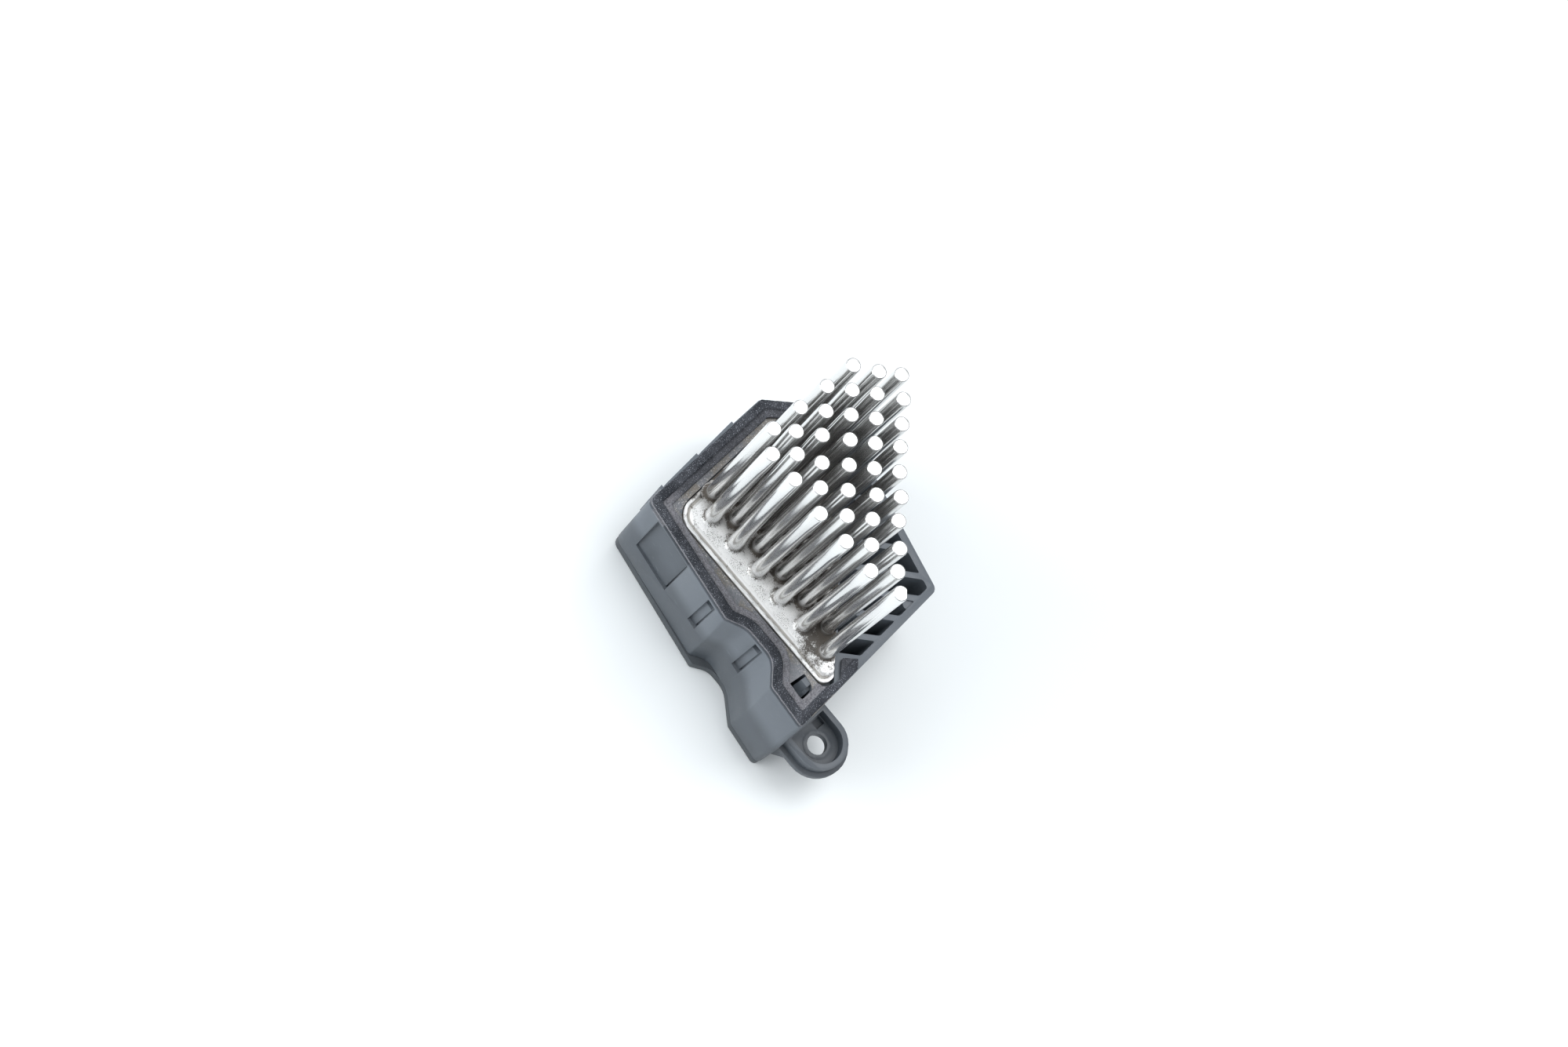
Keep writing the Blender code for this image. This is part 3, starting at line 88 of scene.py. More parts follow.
class Element(Enum):
    """Kinds of mesh element that can be picked in edit mode."""

    VERTEX = "VERT"
    EDGE = "EDGE"
    FACE = "FACE"


class Bench:
    """Hand modelling steps that every piece shares."""

    @staticmethod
    def clear() -> None:
        """Go back to object mode with nothing selected."""
        if bpy.context.object is not None and bpy.context.object.mode != "OBJECT":
            bpy.ops.object.mode_set(mode="OBJECT")
        bpy.ops.object.select_all(action="DESELECT")

    @staticmethod
    def take(*objects: Piece) -> Piece:
        """Select only the given objects and make the first one active.

        Args:
            objects: The objects to select.

        Returns:
            The first of them.
        """
        Bench.clear()
        for obj in objects:
            obj.select_set(True)
        bpy.context.view_layer.objects.active = objects[0]
        return objects[0]

    @staticmethod
    def edit(obj: Piece, kind: Element = Element.FACE) -> None:
        """Open an object in edit mode with everything selected.

        Args:
            obj: The object to open.
            kind: The selection mode.
        """
        Bench.take(obj)
        bpy.ops.object.mode_set(mode="EDIT")
        bpy.ops.mesh.select_mode(type=kind.value)
        bpy.ops.mesh.select_all(action="SELECT")

    @staticmethod
    def pick(obj: Piece, kind: Element, test: Callable[..., bool]) -> None:
        """Select the elements of an open mesh that pass a test.

        Args:
            obj: The object in edit mode.
            kind: The kind of element to look at.
            test: Called with each element.
        """
        bpy.ops.mesh.select_mode(type=kind.value)
        bpy.ops.mesh.select_all(action="DESELECT")
        mesh = bmesh.from_edit_mesh(obj.data)
        mesh.verts.index_update()
        elements = {Element.VERTEX: mesh.verts, Element.EDGE: mesh.edges, Element.FACE: mesh.faces}
        for element in elements[kind]:
            if test(element):
                element.select_set(True)
        bmesh.update_edit_mesh(obj.data)

    @staticmethod
    def settle(obj: Piece) -> None:
        """Put an object's place in its mesh."""
        Bench.take(obj)
        bpy.ops.object.transform_apply(location=True, rotation=True, scale=True)

    @staticmethod
    def apply(obj: Piece, kind: str, **settings: object) -> None:
        """Add a modifier with its settings and apply it.

        Args:
            obj: The object to change.
            kind: The modifier type.
            settings: Values of the modifier's own properties.
        """
        Bench.take(obj)
        modifier = obj.modifiers.new(kind, kind)
        for name, value in settings.items():
            setattr(modifier, name, value)
        bpy.ops.object.modifier_apply(modifier=modifier.name)

    @staticmethod
    def merge(target: Piece, tool: Piece, operation: str = "UNION") -> None:
        """Join a tool to the target, or cut it away, and delete the tool.

        Args:
            target: The object that is kept.
            tool: The object that is used up.
            operation: UNION or DIFFERENCE.
        """
        Bench.apply(target, "BOOLEAN", object=tool, operation=operation, solver="EXACT")
        bpy.data.objects.remove(tool, do_unlink=True)

    @staticmethod
    def made(name: str) -> Piece:
        """Name the object that was just added and put its place in its mesh.

        Args:
            name: The name.

        Returns:
            The object.
        """
        obj = bpy.context.object
        obj.name = name
        Bench.settle(obj)
        return obj

    @staticmethod
    def trim(obj: Piece, planes: Planes, close: bool = True) -> None:
        """Cut an object off along planes and leave it open in edit mode.

        Args:
            obj: The object to cut.
            planes: A point and the outward direction of each plane.
            close: Whether each cut is filled.
        """
        Bench.edit(obj)
        for point, outward in planes:
            bpy.ops.mesh.select_all(action="SELECT")
            bpy.ops.mesh.bisect(
                plane_co=point, plane_no=outward, use_fill=close, clear_outer=True, threshold=CUT_TOLERANCE
            )

    @staticmethod
    def block(name: str, planes: Planes, low: float, high: float, width: float = 400 * MM) -> Piece:
        """Trim a block by upright planes.

        Args:
            name: The block's name.
            planes: A point and the outward direction of each side.
            low: The block's underside.
            high: Its top.
            width: How wide it is before the cuts.

        Returns:
            The closed block.
        """
        Bench.clear()
        middle = (0.0, 0.0, (low + high) / 2)
        bpy.ops.mesh.primitive_cube_add(size=1.0, location=middle, scale=(width, width, high - low))
        block = Bench.made(name)
        Bench.trim(block, planes)
        Bench.clear()
        return block

    @staticmethod
    def drum(name: str, spot: Corner, low: float, high: float, edge: float = 0.0) -> Piece:
        """Model a short round boss.

        Args:
            name: The boss's name.
            spot: Its middle along x and y, and its radius.
            low: Its lower end.
            high: Its upper end.
            edge: The round at its upper end, or 0 for none.

        Returns:
            The closed boss.
        """
        Bench.clear()
        x, y, radius = spot
        middle = (x, y, (low + high) / 2)
        bpy.ops.mesh.primitive_cylinder_add(vertices=32, radius=radius, depth=high - low, location=middle)
        drum = Bench.made(name)
        if edge > 0:
            Bench.edit(drum, Element.EDGE)
            Bench.pick(drum, Element.EDGE, lambda e: all(abs(v.co.z - high) < TINY for v in e.verts))
            bpy.ops.mesh.bevel(offset=edge, segments=3, affect="EDGES")
            Bench.clear()
        return drum

    @staticmethod
    def twin(obj: Piece, name: str) -> Piece:
        """Copy an object with its own mesh.

        Args:
            obj: The object to copy.
            name: The copy's name.

        Returns:
            The copy, linked to the scene.
        """
        copy = obj.copy()
        copy.data = obj.data.copy()
        copy.name = copy.data.name = name
        for key in list(copy.keys()):
            del copy[key]
        copy.parent = None
        copy.matrix_world = Matrix.Identity(4)
        copy.hide_render = copy.hide_viewport = False
        bpy.context.scene.collection.objects.link(copy)
        return copy

    @staticmethod
    def sealed(node: Piece, name: str) -> Piece:
        """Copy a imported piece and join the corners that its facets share.

        Args:
            node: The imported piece.
            name: The copy's name.

        Returns:
            The copy.
        """
        copy = Bench.twin(node, name)
        Bench.edit(copy, Element.VERTEX)
        bpy.ops.mesh.remove_doubles(threshold=TINY)
        Bench.clear()
        return copy

    @staticmethod
    def coat(obj: Piece, finish: Material, angle: float) -> None:
        """Give an object its finish and smooth shading.

        Args:
            obj: The object.
            finish: Its only material.
            angle: The angle in degrees above which an edge stays sharp.
        """
        Bench.take(obj)
        bpy.ops.object.shade_smooth_by_angle(angle=math.radians(angle))
        obj.data.materials.clear()
        obj.data.materials.append(finish)


class Wiring:
    """Adds and links the nodes of a material or of the surround."""

    def __init__(self, owner: Material | bpy.types.World) -> None:
        """Start with the owner's own nodes."""
        owner.use_nodes = True
        self.tree = owner.node_tree

    def add(self, kind: str) -> bpy.types.Node:
        """Add a node of a kind."""
        return self.tree.nodes.new(kind)

    def feed(self, socket: Socket, value: object) -> None:
        """Link a socket to another one, or set its value.

        Args:
            socket: The input to fill.
            value: An output socket, a number or a colour.
        """
        if isinstance(value, Socket):
            self.tree.links.new(value, socket)
        elif isinstance(value, tuple) and socket.type == "RGBA":
            socket.default_value = (*value, 1.0)
        else:
            socket.default_value = value

    def vector(self, operation: str, *vectors: object, scale: float = 1.0) -> Socket:
        """Add a vector maths node.

        Args:
            operation: The node's operation.
            vectors: The vectors that it takes.
            scale: The factor of the SCALE operation.

        Returns:
            The vector result, or the number where the operation gives one.
        """
        node = self.add("ShaderNodeVectorMath")
        node.operation = operation
        for socket, value in zip(node.inputs, vectors):
            self.feed(socket, value)
        if operation == "SCALE":
            node.inputs["Scale"].default_value = scale
        return node.outputs["Value" if operation in ("LENGTH", "DOT_PRODUCT", "DISTANCE") else "Vector"]

    def maths(self, operation: str, first: object, second: object) -> Socket:
        """Add a maths node.

        Args:
            operation: The node's operation.
            first: A number or a socket.
            second: A number or a socket.

        Returns:
            The result.
        """
        node = self.add("ShaderNodeMath")
        node.operation = operation
        self.feed(node.inputs[0], first)
        self.feed(node.inputs[1], second)
        return node.outputs[0]

    def times(self, first: object, second: object) -> Socket:
        """Multiply two numbers."""
        return self.maths("MULTIPLY", first, second)

    def plus(self, first: object, second: object) -> Socket:
        """Add two numbers."""
        return self.maths("ADD", first, second)

    def spread(
        self, value: object, low: float, high: float, start: float = 0.0, end: float = 1.0
    ) -> Socket:
        """Map a range smoothly onto another one.

        Args:
            value: The number that comes in.
            low: Where the result is still the start value.
            high: Where the result reaches the end value.
            start: The result at low.
            end: The result at high.

        Returns:
            The mapped number.
        """
        node = self.add("ShaderNodeMapRange")
        node.interpolation_type = "SMOOTHSTEP"
        names = ("Value", "From Min", "From Max", "To Min", "To Max")
        for name, number in zip(names, (value, low, high, start, end)):
            self.feed(node.inputs[name], number)
        return node.outputs["Result"]

    def band(self, value: object, low: float, high: float, soft: float) -> Socket:
        """Give 1 where a value lies between two limits, fading out over a soft edge."""
        above = self.spread(value, low - soft, low)
        return self.times(above, self.spread(value, high, high + soft, 1.0, 0.0))

    def blend(self, factor: object, first: object, second: object) -> Socket:
        """Mix two colours.

        Args:
            factor: 0 for the first, 1 for the second.
            first: A colour or a socket.
            second: A colour or a socket.

        Returns:
            The mixed colour.
        """
        node = self.add("ShaderNodeMix")
        node.data_type = "RGBA"
        self.feed(node.inputs[0], factor)
        self.feed(node.inputs[6], first)
        self.feed(node.inputs[7], second)
        return node.outputs[2]


class Recipe(Wiring):
    """Wires up the nodes of one procedural material."""

    def __init__(self, name: str) -> None:
        """Start a material with its shader and its object coordinates in millimetres.

        Args:
            name: The material's name.
        """
        self.material = bpy.data.materials.new(name)
        super().__init__(self.material)
        self.shader = self.tree.nodes["Principled BSDF"]
        self.place = self.vector("SCALE", self.add("ShaderNodeTexCoord").outputs["Object"], scale=1 / MM)
        parts = self.add("ShaderNodeSeparateXYZ")
        self.feed(parts.inputs[0], self.place)
        self.x, self.y, self.z = parts.outputs

    def noise(self, size: float, detail: float, stretch: Spot = (1.0, 1.0, 1.0)) -> Socket:
        """Add a noise pattern.

        Args:
            size: The size of one patch in millimetres.
            detail: How many finer layers it has.
            stretch: How much longer the patches are along each axis.

        Returns:
            The pattern, from 0 to 1 with most of it near 0.5.
        """
        node = self.add("ShaderNodeTexNoise")
        node.inputs["Scale"].default_value = 1.0 / size
        node.inputs["Detail"].default_value = detail
        shrink = tuple(1.0 / value for value in stretch)
        self.feed(node.inputs["Vector"], self.vector("MULTIPLY", self.place, shrink))
        return node.outputs["Fac"]

    def bump(self, height: object, depth: float, before: Socket | None = None) -> Socket:
        """Add a bump from a height pattern.

        Args:
            height: The pattern.
            depth: The height of its full range in millimetres.
            before: The normal of an earlier bump, if there is one.

        Returns:
            The bumped normal.
        """
        node = self.add("ShaderNodeBump")
        node.inputs["Distance"].default_value = depth * MM
        self.feed(node.inputs["Height"], height)
        if before is not None:
            self.feed(node.inputs["Normal"], before)
        return node.outputs["Normal"]

    def finish(self, **inputs: object) -> Material:
        """Feed the shader's inputs by name, underscores for spaces.

        Args:
            inputs: Sockets or values for the shader.

        Returns:
            The finished material.
        """
        for name, value in inputs.items():
            self.feed(self.shader.inputs[name.replace("_", " ")], value)
        return self.material


@dataclass(frozen=True)
class CastAluminium:
    """Die-cast aluminium: drawn streaks on the pins, rough grain and grime on the plate, and painted shade on
    the inner pins, at the pin feet, between the pins and in the plate's hollow.
    """

    plate_z: float
    slot: Slot = Slot.ALUMINIUM
    bright: Colour = (0.96, 0.96, 0.955)
    drawn: Colour = (0.88, 0.88, 0.875)
    streak: Colour = (0.55, 0.54, 0.52)
    pin_field_shade: Colour = (0.23, 0.215, 0.20)
    shade: Colour = (0.27, 0.275, 0.29)
    groove_stain_and_shade: Colour = (0.27, 0.245, 0.21)
    grain: Colour = (0.17, 0.16, 0.14)
    grime: Colour = (0.060, 0.048, 0.036)
    pin_pitch: float = 7.8
    row_pitch: float = 4.0
    grime_spot: Spot = (37.0, -1.2, 28.0)

    def _from_pins(self, recipe: Recipe) -> Socket:
        """Give the distance in millimetres from the nearest pin's middle.

        Args:
            recipe: The material that is being made.

        Returns:
            The distance, from the two rectangular grids that the pins form.
        """
        half = (self.pin_pitch / 2, self.row_pitch, 1e6)
        flat = recipe.vector("MULTIPLY", recipe.place, (1.0, 1.0, 0.0))
        shifted = recipe.vector("ADD", flat, (self.pin_pitch / 2, self.row_pitch, 0.0))
        back = tuple(-value for value in half)
        distances = [
            recipe.vector("LENGTH", recipe.vector("WRAP", grid, half, back)) for grid in (flat, shifted)
        ]
        return recipe.maths("MINIMUM", *distances)

    def material(self) -> Material:
        """Mix the finish.

        Returns:
            The material.
        """
        r = Recipe(self.slot.value)
        plate_z = self.plate_z
        shaft = r.spread(r.z, plate_z + 0.9, plate_z + 2.2)
        plate = r.spread(shaft, 0.0, 1.0, 1.0, 0.0)
        lines = r.noise(1.1, 2.0, (1.0, 1.0, 50.0))
        blotch = r.noise(2.6, 4.0)
        speck = r.noise(0.20, 3.0)
        pin_colour = r.blend(r.spread(lines, 0.45, 0.25, 0.0, 0.30), self.drawn, self.streak)
        # Painted shade: the shafts of the inner pins, further in along y and lower down, are darkened towards
        # the shade colour.
        further_in = r.spread(r.y, 0.5, 6.0, 0.15, 1.0)
        pin_colour = r.blend(
            r.times(further_in, r.spread(r.z, plate_z, plate_z + 42.0, 0.50, 0.16)), pin_colour, self.pin_field_shade
        )
        base = r.spread(r.z, plate_z + 0.5, plate_z + 7.0, 0.35, 0.0)
        pin_colour = r.blend(base, pin_colour, self.shade)
        near = r.spread(self._from_pins(r), 1.9, 3.4, 0.05, -0.03)
        top = r.spread(r.z, plate_z - 0.15, plate_z - 0.03)
        grains = r.maths("SUBTRACT", r.plus(speck, r.times(blotch, 0.25)), near)
        pits = r.times(r.spread(grains, 0.56, 0.42, 0.0, 0.9), top)
        plate_colour = r.blend(pits, self.bright, self.grain)
        # Painted shade with brown staining: the hollow between the ridge and the plateau is darkened.
        groove = r.spread(r.z, plate_z - 0.82, plate_z - 0.62, 0.75, 0.0)
        plate_colour = r.blend(groove, plate_colour, self.groove_stain_and_shade)
        # Painted shade between the pins: the plate darkens towards +y inside the pin field.
        plate_colour = r.blend(r.spread(r.y, -1.8, 2.4, 0.0, 0.7), plate_colour, self.pin_field_shade)
        colour = r.blend(shaft, plate_colour, pin_colour)

        foot = r.times(r.spread(self._from_pins(r), 1.75, 2.9, 0.17, 0.0), r.spread(r.y, -2.4, -1.7))
        corner = r.spread(r.vector("DISTANCE", r.place, self.grime_spot), 1.0, 7.0, 0.26, 0.0)
        inner = r.spread(r.y, -1.5, 3.5, 0.0, 0.12)
        low = r.spread(r.z, plate_z + 0.3, plate_z + 2.8, 1.0, 0.0)
        amount = r.plus(r.plus(foot, corner), inner)
        crumbs = r.plus(r.times(r.noise(0.35, 5.0), 0.45), r.times(r.noise(1.8, 4.0), 0.55))
        dirt = r.times(r.spread(r.plus(crumbs, amount), 0.56, 0.76), low)
        colour = r.blend(r.times(dirt, 0.92), colour, self.grime)

        plate_rough = r.spread(blotch, 0.35, 0.65, 0.38, 0.52)
        pin_rough = r.spread(lines, 0.3, 0.7, 0.18, 0.12)
        rough = r.plus(r.times(plate_rough, plate), r.times(pin_rough, shaft))
        rough = r.maths("MAXIMUM", rough, r.times(dirt, 0.85))
        normal = r.bump(r.times(speck, plate), 0.055)
        normal = r.bump(r.times(blotch, plate), 0.05, normal)
        normal = r.bump(r.times(lines, shaft), 0.004, normal)
        clean = r.spread(dirt, 0.0, 1.0, 0.92, 0.1)
        metal = r.times(clean, r.spread(shaft, 0.0, 1.0, 0.50, 1.0))
        return r.finish(Base_Color=colour, Metallic=metal, Roughness=rough, Normal=normal)


@dataclass(frozen=True)
class MouldedPlastic:
    """Glass-filled moulded plastic: fine grain, faint flow marks, dust where it gathers, and painted light on
    the housing's upper wall with painted shade on its long hollow.
    """

    slot: Slot
    base: Colour
    pale: Colour
    rough: float = 0.5
    dust: Colour = (0.23, 0.235, 0.255)
    mud: Colour = (0.25, 0.225, 0.195)
    crumb: Colour = (0.70, 0.69, 0.67)
    deck_z: float | None = None
    painted_light_heights: tuple[float, float] = (0.0, 1.0)

    @staticmethod
    def _beside_sink(recipe: Recipe) -> Socket:
        """Mark the ledge between the heat sink and the foam, on the long and the short side.

        Args:
            recipe: The material that is being made.

        Returns:
            1 on the ledge and 0 elsewhere.
        """
        long_side = recipe.band(recipe.y, -8.4, -5.0, 0.6)
        corner = recipe.times(recipe.band(recipe.y, -11.8, -5.0, 0.6), recipe.spread(recipe.x, 33.0, 37.0))
        lean = recipe.times(recipe.y, 0.0733)
        short_side = recipe.band(recipe.plus(recipe.x, lean), -9.8, -6.0, 0.5)
        return recipe.maths("MAXIMUM", recipe.maths("MAXIMUM", long_side, corner), short_side)

    def material(self) -> Material:
        """Mix the finish.

        Returns:
            The material.
        """
        r = Recipe(self.slot.value)
        flow = r.noise(7.0, 4.0, (1.0, 1.0, 1.6))
        grain = r.noise(0.16, 2.0)
        scuff = r.noise(0.9, 4.0, (3.0, 1.0, 1.0))
        colour = r.blend(r.spread(flow, 0.3, 0.7, 0.08, 0.24), self.base, self.pale)
        if self.deck_z is not None:
            # Painted light: the upper, leaning part of the housing wall is lightened towards the pale colour,
            # and the face of the long hollow much less, which paints shade there.
            hollow = r.times(r.band(r.x, -6.7, 4.9, 0.2), r.spread(r.y, -8.6, -8.2, 1.0, 0.0))
            painted_light = r.times(r.spread(r.z, *self.painted_light_heights), r.spread(hollow, 0.0, 1.0, 1.0, 0.3))
            colour = r.blend(r.times(painted_light, 0.55), colour, self.pale)
            ledge = r.times(r.spread(r.z, self.deck_z - 0.35, self.deck_z - 0.05), self._beside_sink(r))
            fine = r.plus(r.noise(0.5, 4.0), r.times(r.noise(4.0, 3.0), 0.5))
            fine = r.spread(fine, 0.55, 0.90, 0.45, 1.0)
            dust = r.blend(r.spread(r.noise(6.0, 2.0), 0.42, 0.58), self.dust, self.mud)
            crumbs = r.spread(r.noise(0.28, 3.0), 0.57, 0.66)
            dust = r.blend(r.times(crumbs, r.spread(r.y, -8.2, -6.2, 0.15, 0.9)), dust, self.crumb)
            colour = r.blend(r.times(ledge, fine), colour, dust)
            sprinkle = r.spread(r.noise(0.30, 3.0), 0.63, 0.70, 0.0, 0.35)
            near_deck = r.spread(r.z, self.deck_z - 2.0, self.deck_z)
            colour = r.blend(r.times(sprinkle, near_deck), colour, self.dust)
        colour = r.blend(r.times(r.spread(scuff, 0.62, 0.72), 0.18), colour, self.pale)
        rough = r.spread(flow, 0.3, 0.7, self.rough - 0.07, self.rough + 0.08)
        normal = r.bump(grain, 0.012)
        normal = r.bump(flow, 0.05, normal)
        return r.finish(Base_Color=colour, Roughness=rough, Normal=normal, Specular_IOR_Level=0.45)


@dataclass(frozen=True)
class FoamRubber:
    """Closed-cell foam rubber with pale specks, dusty where it is pressed flat."""

    lip_z: float
    top_z: float
    slot: Slot = Slot.FOAM
    base: Colour = (0.030, 0.033, 0.040)
    worn: Colour = (0.060, 0.064, 0.075)
    speck: Colour = (0.36, 0.38, 0.43)
    dusty: Colour = (0.27, 0.265, 0.285)

    def material(self) -> Material:
        """Mix the finish.

        Returns:
            The material.
        """
        r = Recipe(self.slot.value)
        wear = r.noise(4.0, 4.0)
        cells = r.noise(0.28, 3.0)
        colour = r.blend(r.spread(wear, 0.35, 0.68), self.base, self.worn)
        lip = r.spread(r.z, self.lip_z + 0.08, self.top_z - 0.25, 1.0, 0.0)
        side = r.spread(r.y, -6.0, 0.0, 1.0, 0.2)
        fine = r.spread(r.noise(0.35, 4.0), 0.30, 0.66, 0.35, 0.85)
        colour = r.blend(r.times(r.times(lip, side), fine), colour, self.dusty)
        glint = r.spread(r.plus(r.noise(0.17, 1.0), r.times(wear, 0.12)), 0.70, 0.77)
        colour = r.blend(glint, colour, self.speck)
        normal = r.bump(cells, 0.14)
        normal = r.bump(wear, 0.20, normal)
        return r.finish(Base_Color=colour, Roughness=0.93, Normal=normal, Specular_IOR_Level=0.25)


@dataclass(frozen=True)
class BoardLaminate:
    """Green glass-fibre board with its lacquer over faint copper fill."""

    slot: Slot = Slot.BOARD
    lacquer: Colour = (0.012, 0.105, 0.040)
    copper: Colour = (0.035, 0.190, 0.075)

    def material(self) -> Material:
        """Mix the finish.

        Returns:
            The material.
        """
        r = Recipe(self.slot.value)
        weave = r.noise(0.6, 1.0)
        pour = r.spread(r.noise(5.0, 0.0), 0.49, 0.51)
        colour = r.blend(pour, self.lacquer, self.copper)
        normal = r.bump(pour, 0.035)
        normal = r.bump(weave, 0.01, normal)
        return r.finish(Base_Color=colour, Roughness=r.spread(weave, 0.3, 0.7, 0.30, 0.42), Normal=normal)


@dataclass(frozen=True)
class SheetMetal:
    """Rolled or plated metal: fine lines, tarnish patches."""

    slot: Slot
    base: Colour
    tarnish: Colour
    rough: float
    along: Spot = (1.0, 1.0, 14.0)

    def material(self) -> Material:
        """Mix the finish.

        Returns:
            The material.
        """
        r = Recipe(self.slot.value)
        lines = r.noise(0.22, 3.0, self.along)
        patch = r.noise(2.2, 4.0)
        colour = r.blend(r.spread(patch, 0.45, 0.72, 0.0, 0.8), self.base, self.tarnish)
        rough = r.spread(lines, 0.3, 0.7, self.rough - 0.06, self.rough + 0.1)
        return r.finish(Base_Color=colour, Metallic=1.0, Roughness=rough, Normal=r.bump(lines, 0.012))


@dataclass(frozen=True)
class MouldedCompound:
    """Pressed epoxy or silicone compound with a matt, slightly mottled skin."""

    slot: Slot
    base: Colour
    mottle: Colour
    rough: float
    grain: float = 0.02

    def material(self) -> Material:
        """Mix the finish.

        Returns:
            The material.
        """
        r = Recipe(self.slot.value)
        patch = r.noise(1.4, 3.0)
        colour = r.blend(r.spread(patch, 0.35, 0.7), self.base, self.mottle)
        rough = r.spread(patch, 0.3, 0.7, self.rough, self.rough + 0.12)
        return r.finish(Base_Color=colour, Roughness=rough, Normal=r.bump(r.noise(0.15, 2.0), self.grain))


@dataclass
class Outline:
    """A closed outline of corners that run anticlockwise, each with its own radius."""

    corners: tuple[Corner, ...]
    arc_steps: int = 8
    least_radius: float = 0.2 * MM
    sheet: float = 400 * MM

    def inset(self, distance: float) -> "Outline":
        """Move every side inwards.

        Args:
            distance: How far, or negative for outwards.

        Returns:
            The new outline with its radii to suit.
        """
        moved = []
        for i, (x, y, radius) in enumerate(self.corners):
            here = Vector((x, y))
            back = (here - Vector(self.corners[i - 1][:2])).normalized()
            ahead = (Vector(self.corners[(i + 1) % len(self.corners)][:2]) - here).normalized()
            bisector = Vector((-back.y - ahead.y, back.x + ahead.x))
            spot = here + bisector * (distance * 2 / bisector.length_squared)
            moved.append((spot.x, spot.y, max(radius - distance, self.least_radius) if radius > 0 else 0.0))
        return replace(self, corners=tuple(moved))

    def sides(self) -> Planes:
        """Give the upright plane of each side.

        Returns:
            Each side's first corner and its outward direction.
        """
        result = []
        for i, (x, y, _) in enumerate(self.corners):
            here = Vector((x, y, 0.0))
            ahead = Vector((*self.corners[(i + 1) % len(self.corners)][:2], 0.0)) - here
            result.append((here, Vector((ahead.y, -ahead.x, 0.0)).normalized()))
        return result

    def ring(self, name: str, z: float, cuts: tuple[int, ...]) -> Piece:
        """Cut the outline from a plane, round its corners and keep its edge.

        Args:
            name: The ring's name.
            z: Its height.
            cuts: How many points to add along each side.

        Returns:
            A mesh of one closed run of edges.
        """
        Bench.clear()
        bpy.ops.mesh.primitive_plane_add(size=self.sheet, location=(0.0, 0.0, z))
        obj = Bench.made(name)
        Bench.trim(obj, self.sides(), close=False)
        for i, (x, y, radius) in enumerate(self.corners):
            if radius > 0:
                here = Vector((x, y, z))
                Bench.pick(obj, Element.VERTEX, lambda vert: (vert.co - here).length < TINY)
                bpy.ops.mesh.bevel(
                    offset=self._tangent(i), segments=self.arc_steps, affect="VERTICES", clamp_overlap=True
                )
        for (corner, out), count in zip(self.sides(), cuts):
            far = corner.dot(out)
            Bench.pick(
                obj, Element.EDGE, lambda e: all(abs(v.co.dot(out) - far) < CUT_TOLERANCE for v in e.verts)
            )
            bpy.ops.mesh.subdivide(number_cuts=count)
        Bench.edit(obj, Element.FACE)
        bpy.ops.mesh.delete(type="ONLY_FACE")
        Bench.clear()
        return obj

    def _tangent(self, i: int) -> float:
        """Give the distance from a corner to where its arc starts.

        Args:
            i: The corner's number.

        Returns:
            The distance.
        """
        here = Vector(self.corners[i][:2])
        back = Vector(self.corners[i - 1][:2]) - here
        ahead = Vector(self.corners[(i + 1) % len(self.corners)][:2]) - here
        return self.corners[i][2] / math.tan(back.angle(ahead) / 2)


@dataclass
class Pin:
    """One cast pin: flared foot, drafted shaft and a tip with a small round."""

    foot_z: float
    height: float
    tip_radius: float = 1.70 * MM
    foot_radius: float = 1.80 * MM
    flare: float = 0.85 * MM
    root: float = 0.3 * MM
    tip_round: float = 0.28 * MM
    sides: int = 32
    flare_steps: int = 6
    shaft_steps: int = 5

    def sections(self) -> list[tuple[float, float]]:
        """Work out the rings above the first one.

        Returns:
            The height and radius of each.
        """
        rings = []
        for i in range(self.flare_steps + 1):
            angle = math.pi / 2 * i / self.flare_steps
            height = self.flare * (1 - math.cos(angle))
            rings.append((height, self.foot_radius + self.flare * (1 - math.sin(angle))))
        for i in range(1, self.shaft_steps + 1):
            share = i / self.shaft_steps
            height = self.flare + (self.height - self.flare) * share
            rings.append((height, self.foot_radius + (self.tip_radius - self.foot_radius) * share))
        return rings

    def build(self) -> Piece:
        """Model the pin above the origin.

        Returns:
            The closed pin.
        """
        Bench.clear()
        radius = self.foot_radius + self.flare
        bpy.ops.mesh.primitive_circle_add(
            vertices=self.sides, radius=radius, fill_type="NGON", location=(0.0, 0.0, self.foot_z - self.root)
        )
        pin = Bench.made("pin_model")
        Bench.edit(pin)
        level = -self.root
        for height, wanted in self.sections():
            bpy.ops.mesh.extrude_region_move(TRANSFORM_OT_translate={"value": (0.0, 0.0, height - level)})
            middle = (0.0, 0.0, self.foot_z + height)
            bpy.ops.transform.resize(value=(wanted / radius, wanted / radius, 1.0), center_override=middle)
            level, radius = height, wanted
        top = self.foot_z + self.height
        Bench.pick(pin, Element.EDGE, lambda edge: all(abs(v.co.z - top) < TINY for v in edge.verts))
        bpy.ops.mesh.bevel(offset=self.tip_round, segments=3, affect="EDGES", clamp_overlap=True)
        bpy.ops.mesh.select_all(action="SELECT")
        bpy.ops.mesh.normals_make_consistent(inside=False)
        Bench.clear()
        return pin


